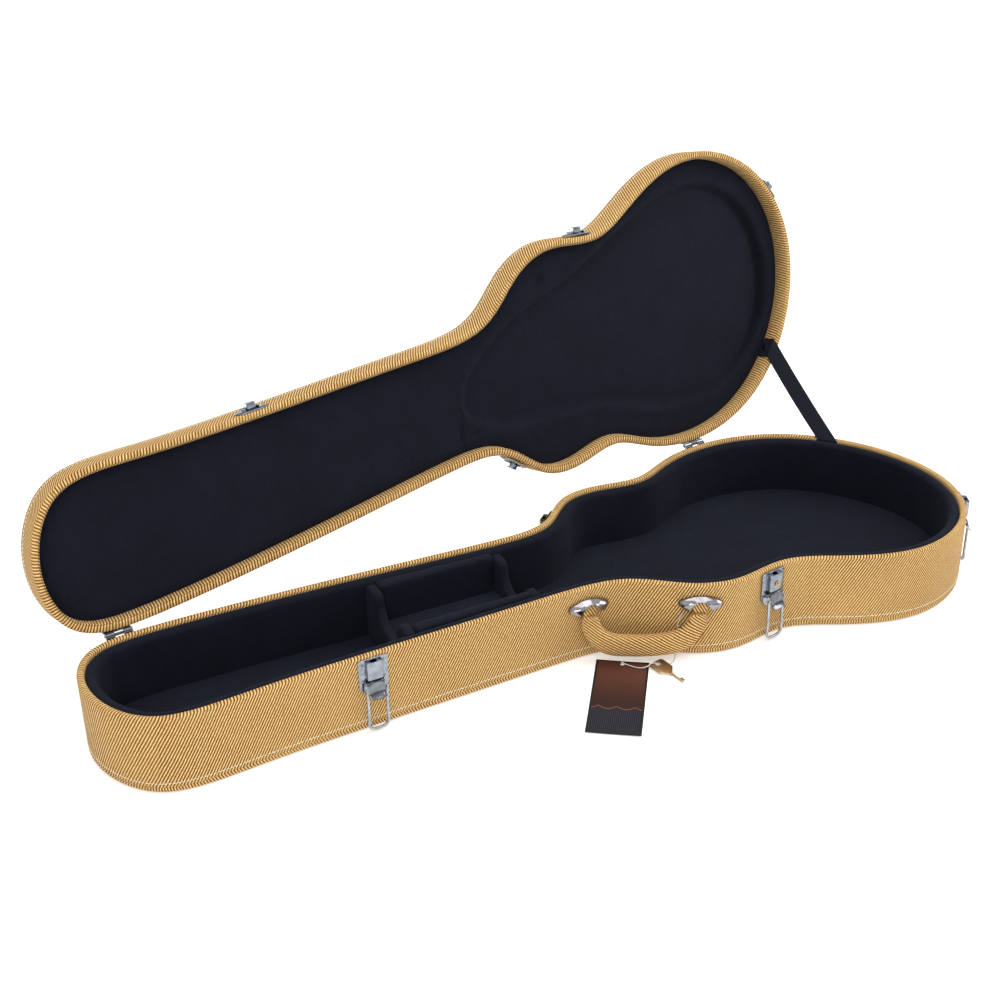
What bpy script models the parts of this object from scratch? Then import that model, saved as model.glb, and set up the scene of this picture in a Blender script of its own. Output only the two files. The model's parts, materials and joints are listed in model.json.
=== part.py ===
"""Hard-shell case for a single-cutaway guitar, standing open on its base.

Metres, +Z up, +X along the case towards the body end, -Y towards the handle. The origin is under
the middle of the base, on the surface that the case stands on.
"""
import math

import bmesh
import bpy
import numpy as np
from mathutils import Matrix, Vector

# ---- driving dimensions, in metres ----------------------------------------------------------
BASE_HEIGHT = 0.092
LID_HEIGHT = 0.045
WALL = 0.008
PANEL = 0.008
GAP = 0.0003
RIM_GAP = 0.0005
LID_OVERHANG = 0.0015
TURNED_IN = 0.020
LINING = 0.012
FLOOR_PAD = 0.010
LID_OPEN = math.radians(104.7)
HINGE_Y = 0.1855
HINGE_PLACES = {"neck": -0.460, "body": 0.330}

# Closed cubic B-spline round the outside of the case, counter-clockwise from the neck end.
OUTLINE = [
    (-0.542, 0.098), (-0.500, 0.000), (-0.394, 0.004), (-0.224, -0.008), (-0.054, -0.022),
    (0.050, -0.028), (0.090, -0.088), (0.154, -0.121), (0.227, -0.100), (0.282, -0.146),
    (0.371, -0.193), (0.476, -0.164), (0.535, -0.076), (0.529, 0.038), (0.463, 0.142),
    (0.364, 0.186), (0.268, 0.178), (0.214, 0.144), (0.161, 0.167), (0.098, 0.171),
    (0.052, 0.116), (-0.013, 0.121), (-0.133, 0.141), (-0.283, 0.164), (-0.427, 0.182),
    (-0.511, 0.183),
]
# The same kind of curve round the recess that the lid's padding leaves for the guitar's body.
RECESS = [
    (0.000, 0.065), (0.030, 0.010), (0.110, -0.040), (0.190, -0.060), (0.270, -0.110),
    (0.380, -0.155), (0.470, -0.120), (0.505, -0.030), (0.490, 0.060), (0.420, 0.130),
    (0.310, 0.140), (0.210, 0.095), (0.120, 0.100), (0.050, 0.095),
]
POINTS_PER_SPAN = 4
FINE_SPAN = 40

LATCH_PLACES = {
    "neck": (-0.259, -0.005),
    "waist": (0.200, -0.109),
    "tail": (0.507, -0.115),
    "back": (0.065, 0.136),
}
LOCKING_LATCH = "waist"

# Latch, in its own drawing plane: x along the wall, y up from the floor, z out of the wall.
LATCH_HALF_WIDTH = 0.017
LATCH_TOP = 0.089
LATCH_FOOT = 0.044
SHEET = 0.0012
COVER_HALF = 0.0093
COVER_FOOT = 0.066
COVER_TOP = 0.087
COVER_RISE = 0.0075
LEVER_HALF = 0.0094
LEVER_PIVOT = (0.060, 0.0042)
BARREL = 0.0022
EAR_INNER = 0.0098
EAR_OUTER = 0.0110
PIN_RADIUS = 0.0009
PIN_BORE = 0.0012
BAIL_PIVOT = (0.054, 0.008)
BAIL_HALF = 0.0115
BAIL_DROP = 0.049
BAIL_CORNER = 0.007
WIRE = 0.0015
HOOK_HALF = 0.005
CATCH_HALF = 0.021

# Handle, between the middles of its two caps.
HANDLE_LEFT = (0.0024, -0.0278)
HANDLE_RIGHT = (0.1090, -0.0950)
HANDLE_PIVOT = (0.056, 0.0070)
CAP_HEIGHT = 0.071
CAP_HALF_LENGTH = 0.025
CAP_HALF_WIDTH = 0.0088
CAP_RISE = 0.011
CAP_SHEET = 0.0015

# Accessory box in the neck channel, square to the guitar's neck, which it also cradles.
NECK_BOX_MIDDLE = (-0.117, 0.060)
NECK_BOX_TURN = math.radians(-6.6)
NECK_BOX_HALF = 0.083
NECK_BOX_END = 0.012
NECK_BOX_INSIDE = 0.042
SIDE_PAD_TOP = 0.0905
CRADLE_TOP = 0.087
CRADLE_RADIUS = 0.030
CRADLE_FLOOR = 0.052
COMPARTMENT_LID = 0.006
COMPARTMENT_LID_TOP = 0.047

# Stay strap, hang tag, key and string.
STRAP_PLACE = (0.487, 0.099)
STRAP_WIDTH = 0.020
STRAP_THICKNESS = 0.0014
STRAP_TUCK = 0.040
STRAP_ON_LID = 0.0165
RIVET_RADIUS = 0.0040
RIVET_HEAD = 0.0013
TAG_SIZE = (0.060, 0.138, 0.0008)
TAG_MIDDLE = (-0.0142, -0.1092)
TAG_HOLE = 0.063
TAG_HOLE_RADIUS = 0.0024
TAG_TURN = math.radians(-41.6)
KEY_PLACE = (0.0580, -0.0940)
KEY_TURN = math.radians(5)
KEY_RISE = 0.0024
KEY_LEAN = math.radians(3.0)
KEY_HOLE = 0.0062
KEY_HOLE_RADIUS = 0.0032
KEY_THICKNESS = 0.0018
STRING = 0.0012
STRING_POINTS = 80

MATERIALS = {
    "tweed": ((0.62, 0.42, 0.17), 0.75, 0.0),
    "plush": ((0.016, 0.018, 0.026), 0.95, 0.0),
    "nickel": ((0.72, 0.73, 0.75), 0.25, 1.0),
    "steel_wire": ((0.62, 0.63, 0.66), 0.30, 1.0),
    "brass": ((0.60, 0.42, 0.16), 0.35, 1.0),
    "webbing": ((0.020, 0.022, 0.030), 0.90, 0.0),
    "tag_card": ((0.090, 0.040, 0.030), 0.55, 0.0),
    "string": ((0.80, 0.80, 0.78), 0.80, 0.0),
}


# ---- helpers --------------------------------------------------------------------------------
def clear_scene():
    for obj in list(bpy.data.objects):
        bpy.data.objects.remove(obj, do_unlink=True)


def material(name):
    found = bpy.data.materials.get(name)
    if found:
        return found
    colour, roughness, metallic = MATERIALS[name]
    made = bpy.data.materials.new(name)
    made.use_nodes = True
    shader = made.node_tree.nodes["Principled BSDF"]
    shader.inputs["Base Color"].default_value = (*colour, 1.0)
    shader.inputs["Roughness"].default_value = roughness
    shader.inputs["Metallic"].default_value = metallic
    return made


def mesh_of(name, points, faces):
    mesh = bpy.data.meshes.new(name)
    mesh.from_pydata([tuple(p) for p in points], [], faces)
    work = bmesh.new()
    work.from_mesh(mesh)
    bmesh.ops.recalc_face_normals(work, faces=work.faces)
    work.to_mesh(mesh)
    work.free()
    mesh.shade_smooth()
    mesh.set_sharp_from_angle(angle=math.radians(35))
    return mesh


def add(name, mesh, finish, matrix=None, parent=None):
    """One named object. A parent is an empty, whose own turn the object then takes."""
    obj = bpy.data.objects.new(name, mesh)
    bpy.context.scene.collection.objects.link(obj)
    if finish:
        mesh.materials.append(material(finish))
    if parent is not None:
        obj.parent = parent
        obj.matrix_parent_inverse = Matrix.Translation(-parent.location)
    obj.matrix_basis = matrix if matrix is not None else Matrix.Identity(4)
    return obj


def helper(name, mesh, matrix=None):
    """A cutter or a piece to join, left out of the finished model."""
    obj = add(name, mesh, None, matrix)
    obj.hide_render = True
    obj.display_type = "WIRE"
    return obj


def combine(obj, other, operation):
    modifier = obj.modifiers.new(f"{operation.lower()}_{other.name}", "BOOLEAN")
    modifier.operation = operation
    modifier.solver = "EXACT"
    modifier.object = other


def spline(control, per_span):
    """Points and unit outward normals of a closed cubic B-spline, walked counter-clockwise."""
    control = np.array(control)
    span, step = np.divmod(np.arange(len(control) * per_span), per_span)
    t = step / per_span
    weights = np.stack([
        (1 - t) ** 3, 3 * t**3 - 6 * t**2 + 4, -3 * t**3 + 3 * t**2 + 3 * t + 1, t**3,
    ]) / 6
    slopes = np.stack([
        -((1 - t) ** 2), 3 * t**2 - 4 * t, -3 * t**2 + 2 * t + 1, t**2,
    ]) / 2
    near = [control[(span + k) % len(control)] for k in range(4)]
    points = sum(w[:, None] * p for w, p in zip(weights, near))
    along = sum(s[:, None] * p for s, p in zip(slopes, near))
    along /= np.linalg.norm(along, axis=1)[:, None]
    return points, np.stack([along[:, 1], -along[:, 0]], axis=1)


def ring(profile, control=OUTLINE):
    """A hoop that follows the outline: profile is a closed loop of (outward offset, height)."""
    points, normals = spline(control, POINTS_PER_SPAN)
    corners = [
        (*(p + n * offset), height) for p, n in zip(points, normals) for offset, height in profile
    ]
    count, sides = len(points), len(profile)
    faces = [
        (
            i * sides + k,
            (i + 1) % count * sides + k,
            (i + 1) % count * sides + (k + 1) % sides,
            i * sides + (k + 1) % sides,
        )
        for i in range(count)
        for k in range(sides)
    ]
    return corners, faces


def slab(profile, control=OUTLINE):
    """A plate in the outline's shape: profile runs up its edge as (outward offset, height)."""
    points, normals = spline(control, POINTS_PER_SPAN)
    count = len(points)
    corners = [(*(p + n * offset), height) for offset, height in profile
               for p, n in zip(points, normals)]
    faces = [
        (
            level * count + i,
            level * count + (i + 1) % count,
            (level + 1) * count + (i + 1) % count,
            (level + 1) * count + i,
        )
        for level in range(len(profile) - 1)
        for i in range(count)
    ]
    top = (len(profile) - 1) * count
    faces += [tuple(range(count))[::-1], tuple(range(top, top + count))]
    return corners, faces


def prism(loop, low, high, axis="z"):
    """A closed drawing extruded along one axis: x takes (y, z) drawings, z takes (x, y) ones."""
    order = {"x": lambda a, b, d: (d, a, b), "y": lambda a, b, d: (a, d, b),
             "z": lambda a, b, d: (a, b, d)}[axis]
    count = len(loop)
    corners = [order(a, b, depth) for depth in (low, high) for a, b in loop]
    faces = [(i, (i + 1) % count, count + (i + 1) % count, count + i) for i in range(count)]
    faces += [tuple(range(count))[::-1], tuple(range(count, 2 * count))]
    return corners, faces


def arc(centre, radius, start, end, steps):
    """Points on an arc, in degrees."""
    return [
        (centre[0] + radius * math.cos(a), centre[1] + radius * math.sin(a))
        for a in np.radians(np.linspace(start, end, steps))
    ]


def rod(radius, low, high, centre=(0.0, 0.0), steps=12):
    """A cylinder along x, round a (y, z) centre."""
    return prism(arc(centre, radius, 0, 360 * (1 - 1 / steps), steps), low, high, "x")


def wall_station(place, overhang=0.0):
    """The drawing plane of the wall nearest a place: x along the wall, y up, z out of it."""
    points, normals = spline(OUTLINE, FINE_SPAN)
    at = np.argmin(np.linalg.norm(points - np.array(place), axis=1))
    return wall_plane(points[at] + normals[at] * overhang, normals[at])


def wall_plane(point, normal):
    along = Vector((-normal[1], normal[0], 0.0))
    up = Vector((0.0, 0.0, 1.0))
    out = Vector((normal[0], normal[1], 0.0))
    matrix = Matrix((along, up, out)).transposed().to_4x4()
    matrix.translation = (point[0], point[1], 0.0)
    return matrix


def stand_off(matrix, half_width, overhang=0.0):
    """How far a flat plate has to stand out so that the curved wall behind it stays clear."""
    points, normals = spline(OUTLINE, POINTS_PER_SPAN)
    corners = points + normals * overhang
    ahead = np.roll(corners, -1, axis=0)
    inverse = matrix.inverted()
    reach = [
        inverse @ Vector((*(corners + (ahead - corners) * share)[i], 0.0))
        for share in np.linspace(0, 1, 13)
        for i in range(len(corners))
    ]
    near = [p.z for p in reach if abs(p.x) < half_width + 0.001 and abs(p.z) < 0.03]
    return max(near) + GAP


def shifted(matrix, x=0.0, y=0.0, z=0.0):
    return matrix @ Matrix.Translation((x, y, z))


def wire(name, route, radius, finish, matrix=None, resolution=2, parent=None):
    curve = bpy.data.curves.new(name, "CURVE")
    curve.dimensions = "3D"
    curve.bevel_depth = radius
    curve.bevel_resolution = resolution
    curve.use_fill_caps = True
    line = curve.splines.new("POLY")
    line.points.add(len(route) - 1)
    for point, place in zip(line.points, route):
        point.co = (*place, 1.0)
    return add(name, curve, finish, matrix, parent)


# ---- base -----------------------------------------------------------------------------------
def build_base():
    top = BASE_HEIGHT
    low = PANEL + GAP
    ease = 0.0025
    wall = [(0, low), (0, top - ease), (-ease * 0.3, top - ease * 0.3), (-ease, top),
            (ease - WALL, top), (-WALL, top - ease), (-WALL, low)]
    add("base_wall", mesh_of("base_wall", *ring(wall)), "tweed")
    panel = [(-0.006, 0), (-0.0018, 0.0018), (0, 0.006), (0, PANEL)]
    add("base_panel", mesh_of("base_panel", *slab(panel)), "tweed")
    inner = -WALL - GAP
    floor_top = low + FLOOR_PAD
    add("base_floor_pad", mesh_of("base_floor_pad", *slab([(inner, low), (inner, floor_top)])),
        "plush")
    lining_top = top - 0.003
    lining = [(inner, floor_top + GAP), (inner, lining_top - 0.002), (inner - 0.003, lining_top),
              (inner - LINING + 0.003, lining_top - 0.001), (inner - LINING, lining_top - 0.006),
              (inner - LINING, floor_top + GAP)]
    side = add("base_side_lining", mesh_of("base_side_lining", *ring(lining)), "plush")
    slot = [(-0.016, 0.045), (0.016, 0.045), (0.016, 0.100), (-0.016, 0.100)]
    behind = shifted(wall_station(STRAP_PLACE), z=-WALL - 0.0055)
    cutter = helper("strap_slot", mesh_of("strap_slot", *prism(slot, 0.0, 0.020)), behind)
    combine(side, cutter, "DIFFERENCE")
    return floor_top + GAP, inner - LINING - GAP


def neck_box_frame():
    place = Matrix.Translation((*NECK_BOX_MIDDLE, 0.0))
    return place @ Matrix.Rotation(NECK_BOX_TURN, 4, "Z")


def channel_side(frame, inset, x, side):
    """How far across the channel its lining is, at x along the box. Side is -1 front, 1 back."""
    points, normals = spline(OUTLINE, FINE_SPAN)
    inverse = frame.inverted()
    local = [inverse @ Vector((*p, 0.0)) for p in points + normals * inset]
    facing = [p for p in local if p.y * side > 0 and abs(p.x) < 0.2]
    return min(facing, key=lambda p: abs(p.x - x)).y


def cradle_drawing(front, back, floor):
    """An end of the box, as (across, up): its top is hollowed for the neck."""
    rise = CRADLE_TOP - CRADLE_FLOOR - CRADLE_RADIUS
    low = CRADLE_FLOOR + CRADLE_RADIUS
    hollow = arc((0.0, low), CRADLE_RADIUS, 180, 360, 13)
    hollow = [(-CRADLE_RADIUS - rise, CRADLE_TOP)] + hollow + [(CRADLE_RADIUS + rise, CRADLE_TOP)]
    return [(front, floor), (front, CRADLE_TOP)] + hollow + [(back, CRADLE_TOP), (back, floor)]


def build_neck_box(floor, inset):
    frame = neck_box_frame()
    snug = inset - 0.0012
    inner = NECK_BOX_HALF - NECK_BOX_END
    for name, sign in (("cradle_neck_end", -1), ("cradle_body_end", 1)):
        low, high = sorted((sign * inner, sign * NECK_BOX_HALF))
        front = max(channel_side(frame, snug, x, -1) for x in (low, high))
        back = min(channel_side(frame, snug, x, 1) for x in (low, high))
        drawing = cradle_drawing(front, back, floor)
        add(name, mesh_of(name, *prism(drawing, low, high, "x")), "plush", frame)
    reach = inner - GAP
    for name, side in (("neck_pad_front", -1), ("neck_pad_back", 1)):
        face = side * NECK_BOX_INSIDE
        outer = [(x, channel_side(frame, snug, x, side)) for x in (-reach, reach)]
        pad = [(-reach, face), (reach, face), outer[1], outer[0]]
        add(name, mesh_of(name, *prism(pad, floor, SIDE_PAD_TOP)), "plush", frame)
    build_compartment_lid(frame, reach)


def build_compartment_lid(frame, reach):
    """It is hinged along its back edge, which is square, on a line through its middle."""
    half = COMPARTMENT_LID / 2
    back = NECK_BOX_INSIDE - 0.0042
    place = frame @ Matrix.Translation((0.0, back, COMPARTMENT_LID_TOP - half))
    width = back + NECK_BOX_INSIDE - 0.0015
    side = reach - 0.0010
    panel = [(-side, -width), (side, -width), (side, 0.0), (-side, 0.0)]
    mesh = mesh_of("compartment_lid", *prism(panel, -half, half))
    add("compartment_lid", mesh, "plush", place)
    edge = 0.006 - width
    tab = [(edge, half + GAP), (edge, half + GAP + 0.0012), (edge + 0.013, half + GAP + 0.0012),
           (edge + 0.020, half + 0.0075), (edge + 0.0208, half + 0.0066),
           (edge + 0.0138, half + GAP)]
    mesh = mesh_of("compartment_pull_tab", *prism(tab, -0.009, 0.009, "x"))
    add("compartment_pull_tab", mesh, "webbing", place)


# ---- lid ------------------------------------------------------------------------------------
def lid_pivot():
    empty = bpy.data.objects.new("lid_pivot", None)
    bpy.context.scene.collection.objects.link(empty)
    empty.location = (0.0, HINGE_Y, BASE_HEIGHT + RIM_GAP / 2)
    empty.rotation_euler = (-LID_OPEN, 0.0, 0.0)
    return empty


def build_lid(pivot):
    rim = BASE_HEIGHT + RIM_GAP
    top = BASE_HEIGHT + LID_HEIGHT
    out = LID_OVERHANG
    wall_top = top - PANEL - GAP
    ease = 0.002
    wall = [(out, wall_top), (out - WALL, wall_top), (out - WALL, rim + ease),
            (out - WALL + ease, rim), (out - ease, rim), (out, rim + ease)]
    add("lid_wall", mesh_of("lid_wall", *ring(wall)), "tweed", parent=pivot)
    panel = [(out, top - PANEL), (out, top - 0.006), (out - 0.0018, top - 0.0018), (out - 0.006, top)]
    add("lid_panel", mesh_of("lid_panel", *slab(panel)), "tweed", parent=pivot)
    inner = out - WALL - GAP
    band_top = rim + TURNED_IN
    band = [(inner, band_top), (inner - 0.0012, band_top), (inner - 0.0012, rim + 0.001),
            (inner, rim + 0.001)]
    add("lid_inner_band", mesh_of("lid_inner_band", *ring(band)), "tweed", parent=pivot)
    pad_low = wall_top - GAP - 0.007
    pad = [(inner - GAP, pad_low), (inner - GAP, wall_top)]
    add("lid_pad", mesh_of("lid_pad", *slab(pad)), "plush", parent=pivot)
    border_low = band_top + GAP
    border = [(inner - 0.003, border_low), (inner - GAP, border_low + 0.002),
              (inner - GAP, pad_low - GAP)]
    frame = add("lid_border_pad", mesh_of("lid_border_pad", *slab(border)), "plush", parent=pivot)
    hole = [(0.0, border_low - 0.01), (0.0, pad_low + 0.01)]
    cutter = helper("recess_cutter", mesh_of("recess_cutter", *slab(hole, RECESS)))
    cutter.parent = pivot
    cutter.matrix_parent_inverse = Matrix.Translation(-pivot.location)
    combine(frame, cutter, "DIFFERENCE")


# ---- hinges ---------------------------------------------------------------------------------
def build_hinge(label, x, pivot):
    half = 0.015
    knuckle = 0.0051
    radius = 0.0028
    plane = wall_plane((x, HINGE_Y), (0.0, 1.0))
    plane.translation.z = pivot.location.z
    wall_at = stand_off(plane, half) - GAP
    leaf = wall_at + GAP
    side = [(-0.003, leaf), (-0.003, leaf + SHEET), (-0.022, leaf + SHEET), (-0.022, leaf)]
    base_leaf = add(f"hinge_{label}_base_leaf",
                    mesh_of("base_leaf", *prism(side, -half, half, "x")), "nickel", plane)
    web = [(-0.0045, leaf), (-0.0002, leaf), (-0.0002, -0.0005), (-0.0045, leaf + SHEET)]
    for tag, low, high in (("near", -half, -knuckle), ("far", knuckle, half)):
        barrel = helper(f"{label}_{tag}_barrel", mesh_of("barrel", *rod(radius, low, high)), plane)
        arm = helper(f"{label}_{tag}_arm", mesh_of("arm", *prism(web, low, high, "x")), plane)
        combine(base_leaf, barrel, "UNION")
        combine(base_leaf, arm, "UNION")
    lid_leaf_at = leaf + LID_OVERHANG
    side = [(0.0225, lid_leaf_at), (0.0225, lid_leaf_at + SHEET), (0.0035, lid_leaf_at + SHEET),
            (0.0035, lid_leaf_at)]
    lid_leaf = add(f"hinge_{label}_lid_leaf",
                   mesh_of("lid_leaf", *prism(side, -half, half, "x")), "nickel", plane, pivot)
    reach = knuckle - GAP
    web = [(0.0045, lid_leaf_at + SHEET), (0.0004, -0.0005), (0.0004, lid_leaf_at),
           (0.0045, lid_leaf_at)]
    for tag, shape in (("middle_barrel", rod(radius, -reach, reach)),
                       ("middle_arm", prism(web, -reach, reach, "x"))):
        piece = helper(f"{label}_{tag}", mesh_of(tag, *shape), plane)
        piece.parent = pivot
        piece.matrix_parent_inverse = Matrix.Translation(-pivot.location)
        combine(lid_leaf, piece, "UNION")
    bore = helper(f"{label}_bore", mesh_of("bore", *rod(0.0015, -0.03, 0.03)), plane)
    combine(base_leaf, bore, "DIFFERENCE")
    combine(lid_leaf, bore, "DIFFERENCE")
    pin = mesh_of("pin", *rod(0.0012, -half - 0.0008, half + 0.0008))
    add(f"hinge_{label}_pin", pin, "steel_wire", plane)


# ---- latches --------------------------------------------------------------------------------
def latch_plate_drawing():
    half, top, foot = LATCH_HALF_WIDTH, LATCH_TOP, LATCH_FOOT
    right = arc((half - 0.006, foot + 0.012), 0.006, 0, -50, 4)
    right += arc((0.004, foot + 0.004), 0.004, -60, -90, 3)
    left = [(-x, y) for x, y in right][::-1]
    return [(half, top)] + right + left + [(-half, top)]


def lever_drawing():
    """The lever's side, as (height, outward) from its pivot: a barrel, then a thumb tongue."""
    barrel = arc((0.0, 0.0), BARREL, -60, 100, 7)
    tongue = [(-0.0035, 0.0046), (-0.0075, 0.0054), (-0.0110, 0.0072), (-0.0140, 0.0104),
              (-0.0152, 0.0098), (-0.0126, 0.0061), (-0.0085, 0.0037), (-0.0040, 0.0026)]
    return barrel + tongue + [(-0.0022, -0.0012)]


def bail_route():
    """The wire loop, hanging from its pivot."""
    side, drop, corner = BAIL_HALF, BAIL_DROP, BAIL_CORNER
    right = arc((side - corner, corner - drop), corner, 0, -90, 6)
    left = [(-x, y) for x, y in right][::-1]
    return [(x, y, 0.0) for x, y in [(side, 0.0)] + right + left + [(-side, 0.0)]]


def build_latch(label, place):
    station = wall_station(place)
    plane = shifted(station, z=stand_off(station, LATCH_HALF_WIDTH))
    plate = add(f"latch_{label}_plate",
                mesh_of("plate", *prism(latch_plate_drawing(), 0.0, SHEET)), "nickel", plane)
    rise, half = COVER_RISE, COVER_HALF
    channel = [(-half, SHEET / 2), (-half, rise), (half, rise), (half, SHEET / 2),
               (half - SHEET, SHEET / 2), (half - SHEET, rise - SHEET),
               (SHEET - half, rise - SHEET), (SHEET - half, SHEET / 2)]
    cover = helper(f"{label}_cover",
                   mesh_of("cover", *prism(channel, COVER_FOOT, COVER_TOP, "y")), plane)
    combine(plate, cover, "UNION")
    y, z = LEVER_PIVOT
    ear = [(y + 0.003, SHEET / 2)] + arc((y, z), 0.002, 0, 180, 7) + [(y - 0.003, SHEET / 2)]
    for tag, sign in (("right", 1), ("left", -1)):
        low, high = sorted((sign * EAR_INNER, sign * EAR_OUTER))
        piece = helper(f"{label}_{tag}_ear", mesh_of("ear", *prism(ear, low, high, "x")), plane)
        combine(plate, piece, "UNION")
    bore = helper(f"{label}_latch_bore",
                  mesh_of("latch_bore", *rod(PIN_BORE, -0.02, 0.02, LEVER_PIVOT)), plane)
    combine(plate, bore, "DIFFERENCE")
    pivot = shifted(plane, y=y, z=z)
    pin = mesh_of("latch_pin", *rod(PIN_RADIUS, -EAR_OUTER - 0.0005, EAR_OUTER + 0.0005))
    add(f"latch_{label}_pin", pin, "steel_wire", pivot)
    lever = add(f"latch_{label}_lever",
                mesh_of("lever", *prism(lever_drawing(), -LEVER_HALF, LEVER_HALF, "x")),
                "nickel", pivot)
    combine(lever, bore, "DIFFERENCE")
    bail_at = shifted(plane, y=BAIL_PIVOT[0], z=BAIL_PIVOT[1])
    wire(f"latch_{label}_bail", bail_route(), WIRE, "steel_wire", bail_at)
    if label == LOCKING_LATCH:
        disc = mesh_of("lock", *prism(arc((0.0, 0.075), 0.0034, 0, 337.5, 16), rise + GAP,
                                      rise + GAP + 0.0012))
        add("lock_cylinder", disc, "brass", plane)
    return plane


def build_catch(label, place, plane, pivot):
    """The lid's half of a latch: a plate with pointed ends, and a hook that opens upwards."""
    foot, head = 0.0955, 0.1115
    middle = (foot + head) / 2
    half = CATCH_HALF
    drawing = [(half, middle), (half - 0.007, head), (0.007 - half, head), (-half, middle),
               (0.007 - half, foot), (half - 0.007, foot)]
    station = wall_station(place, LID_OVERHANG)
    flat = shifted(station, z=stand_off(station, CATCH_HALF, LID_OVERHANG))
    plate = add(f"latch_{label}_catch", mesh_of("catch", *prism(drawing, 0.0, SHEET)), "nickel",
                flat, pivot)
    wire_out = (flat.inverted() @ shifted(plane, z=BAIL_PIVOT[1]).translation).z
    wire_up = BAIL_PIVOT[0] + BAIL_DROP
    shelf = wire_up - WIRE - GAP
    lip = wire_out + WIRE + 0.0008
    hook = [(shelf - 0.0025, SHEET / 2), (shelf - 0.0025, lip + SHEET), (wire_up + 0.003, lip + SHEET),
            (wire_up + 0.003, lip), (shelf, lip), (shelf, SHEET / 2)]
    piece = helper(f"{label}_hook", mesh_of("hook", *prism(hook, -HOOK_HALF, HOOK_HALF, "x")), flat)
    piece.parent = pivot
    piece.matrix_parent_inverse = Matrix.Translation(-pivot.location)
    combine(plate, piece, "UNION")


# ---- handle ---------------------------------------------------------------------------------
def cap_shell():
    """A boat-shaped bridge: it rises from one pointed tip, over the handle's loop, to the other."""
    stations, across = 15, 5
    rings = []
    for s in np.linspace(-1.0, 1.0, stations):
        bow = math.sqrt(max(1 - s * s, 0.0))
        half = 0.0015 + (CAP_HALF_WIDTH - 0.0015) * (1 - s * s)
        outer, inner = [], []
        for a in np.linspace(-1.0, 1.0, across):
            crown = 1 - 0.30 * a * a
            height = CAP_SHEET + (CAP_RISE - CAP_SHEET) * bow * crown
            outer.append((s * CAP_HALF_LENGTH, a * half, height))
            inner.append((s * CAP_HALF_LENGTH, a * half, height - CAP_SHEET))
        rings.append(outer + inner[::-1])
    count = 2 * across
    faces = [
        (i * count + k, (i + 1) * count + k, (i + 1) * count + (k + 1) % count,
         i * count + (k + 1) % count)
        for i in range(stations - 1)
        for k in range(count)
    ]
    faces += [tuple(range(count))[::-1], tuple(range((stations - 1) * count, stations * count))]
    return [p for r in rings for p in r], faces


def handle_plane():
    left, right = Vector(HANDLE_LEFT), Vector(HANDLE_RIGHT)
    along = (right - left).normalized()
    return wall_plane(left, (along.y, -along.x))


def grip_mesh():
    """The grip, swept from one leg to the other, about its pivot axis. Each station is its place
    along the chord, its height, half its width, half its depth and how far out it stands."""
    stations = [
        (3.5, 58, 10.0, 3.2, 7.0), (3.5, 54, 10.5, 3.5, 7.0), (4.5, 48, 11.0, 4.3, 7.6),
        (8, 40, 11.5, 6.0, 9.0), (16, 31, 12.5, 7.5, 10.5), (28, 25, 13.0, 8.0, 11.0),
        (46, 23, 13.0, 8.0, 11.0), (64, 22.5, 13.0, 8.0, 11.0), (82, 23.5, 13.0, 8.0, 11.0),
        (99, 26.5, 13.0, 8.0, 11.0), (111, 32.5, 12.5, 7.2, 10.2), (119, 41, 11.5, 5.6, 8.8),
        (123, 48, 11.0, 4.3, 7.6), (124, 54, 10.5, 3.5, 7.0), (124.5, 58, 10.0, 3.2, 7.0),
    ]
    centre = np.array([(u, z, w) for u, z, _, _, w in stations]) / 1000
    along = np.gradient(centre[:, :2], axis=0)
    along[0] = (0.0, -1.0)
    along[-1] = (0.0, 1.0)
    along /= np.linalg.norm(along, axis=1)[:, None]
    corners, sides = [], 12
    for c, a, (_, _, half_width, half_depth, _) in zip(centre, along, stations):
        across = np.array([-a[1], a[0]])
        for angle in np.radians(np.arange(sides) * 360 / sides + 15):
            squared = np.array([math.cos(angle), math.sin(angle)])
            squared = np.sign(squared) * np.abs(squared) ** 0.75
            place = c[:2] + across * squared[0] * half_width / 1000
            corners.append((place[0], place[1] - HANDLE_PIVOT[0],
                            c[2] + squared[1] * half_depth / 1000 - HANDLE_PIVOT[1]))
    faces = [
        (i * sides + k, (i + 1) * sides + k, (i + 1) * sides + (k + 1) % sides,
         i * sides + (k + 1) % sides)
        for i in range(len(stations) - 1)
        for k in range(sides)
    ]
    last = (len(stations) - 1) * sides
    faces += [tuple(range(sides))[::-1], tuple(range(last, last + sides))]
    return mesh_of("handle_grip", corners, faces)


def build_handle():
    for label, place in (("left", HANDLE_LEFT), ("right", HANDLE_RIGHT)):
        station = wall_station(place)
        plane = shifted(station, y=CAP_HEIGHT, z=stand_off(station, CAP_HALF_LENGTH))
        add(f"handle_{label}_cap", mesh_of("cap", *cap_shell()), "nickel", plane)
        foot = HANDLE_PIVOT[0] + 0.0041 - CAP_HEIGHT
        loop = [(foot, 0.0012), (0.0045, 0.0012), (0.0052, 0.0030), (0.0045, 0.0050), (foot, 0.0054)]
        add(f"handle_{label}_loop", mesh_of("loop", *prism(loop, -0.008, 0.008, "x")), "tweed", plane)
    plane = handle_plane()
    add("handle_grip", grip_mesh(), "tweed", shifted(plane, y=HANDLE_PIVOT[0], z=HANDLE_PIVOT[1]))


# ---- strap, tag, key and string -------------------------------------------------------------
def opened(point, pivot):
    """Where a point of the closed lid stands with the lid open."""
    turn = Matrix.Rotation(-LID_OPEN, 4, "X")
    shift = Matrix.Translation(pivot.location)
    return shift @ turn @ shift.inverted() @ Vector(point)


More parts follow.
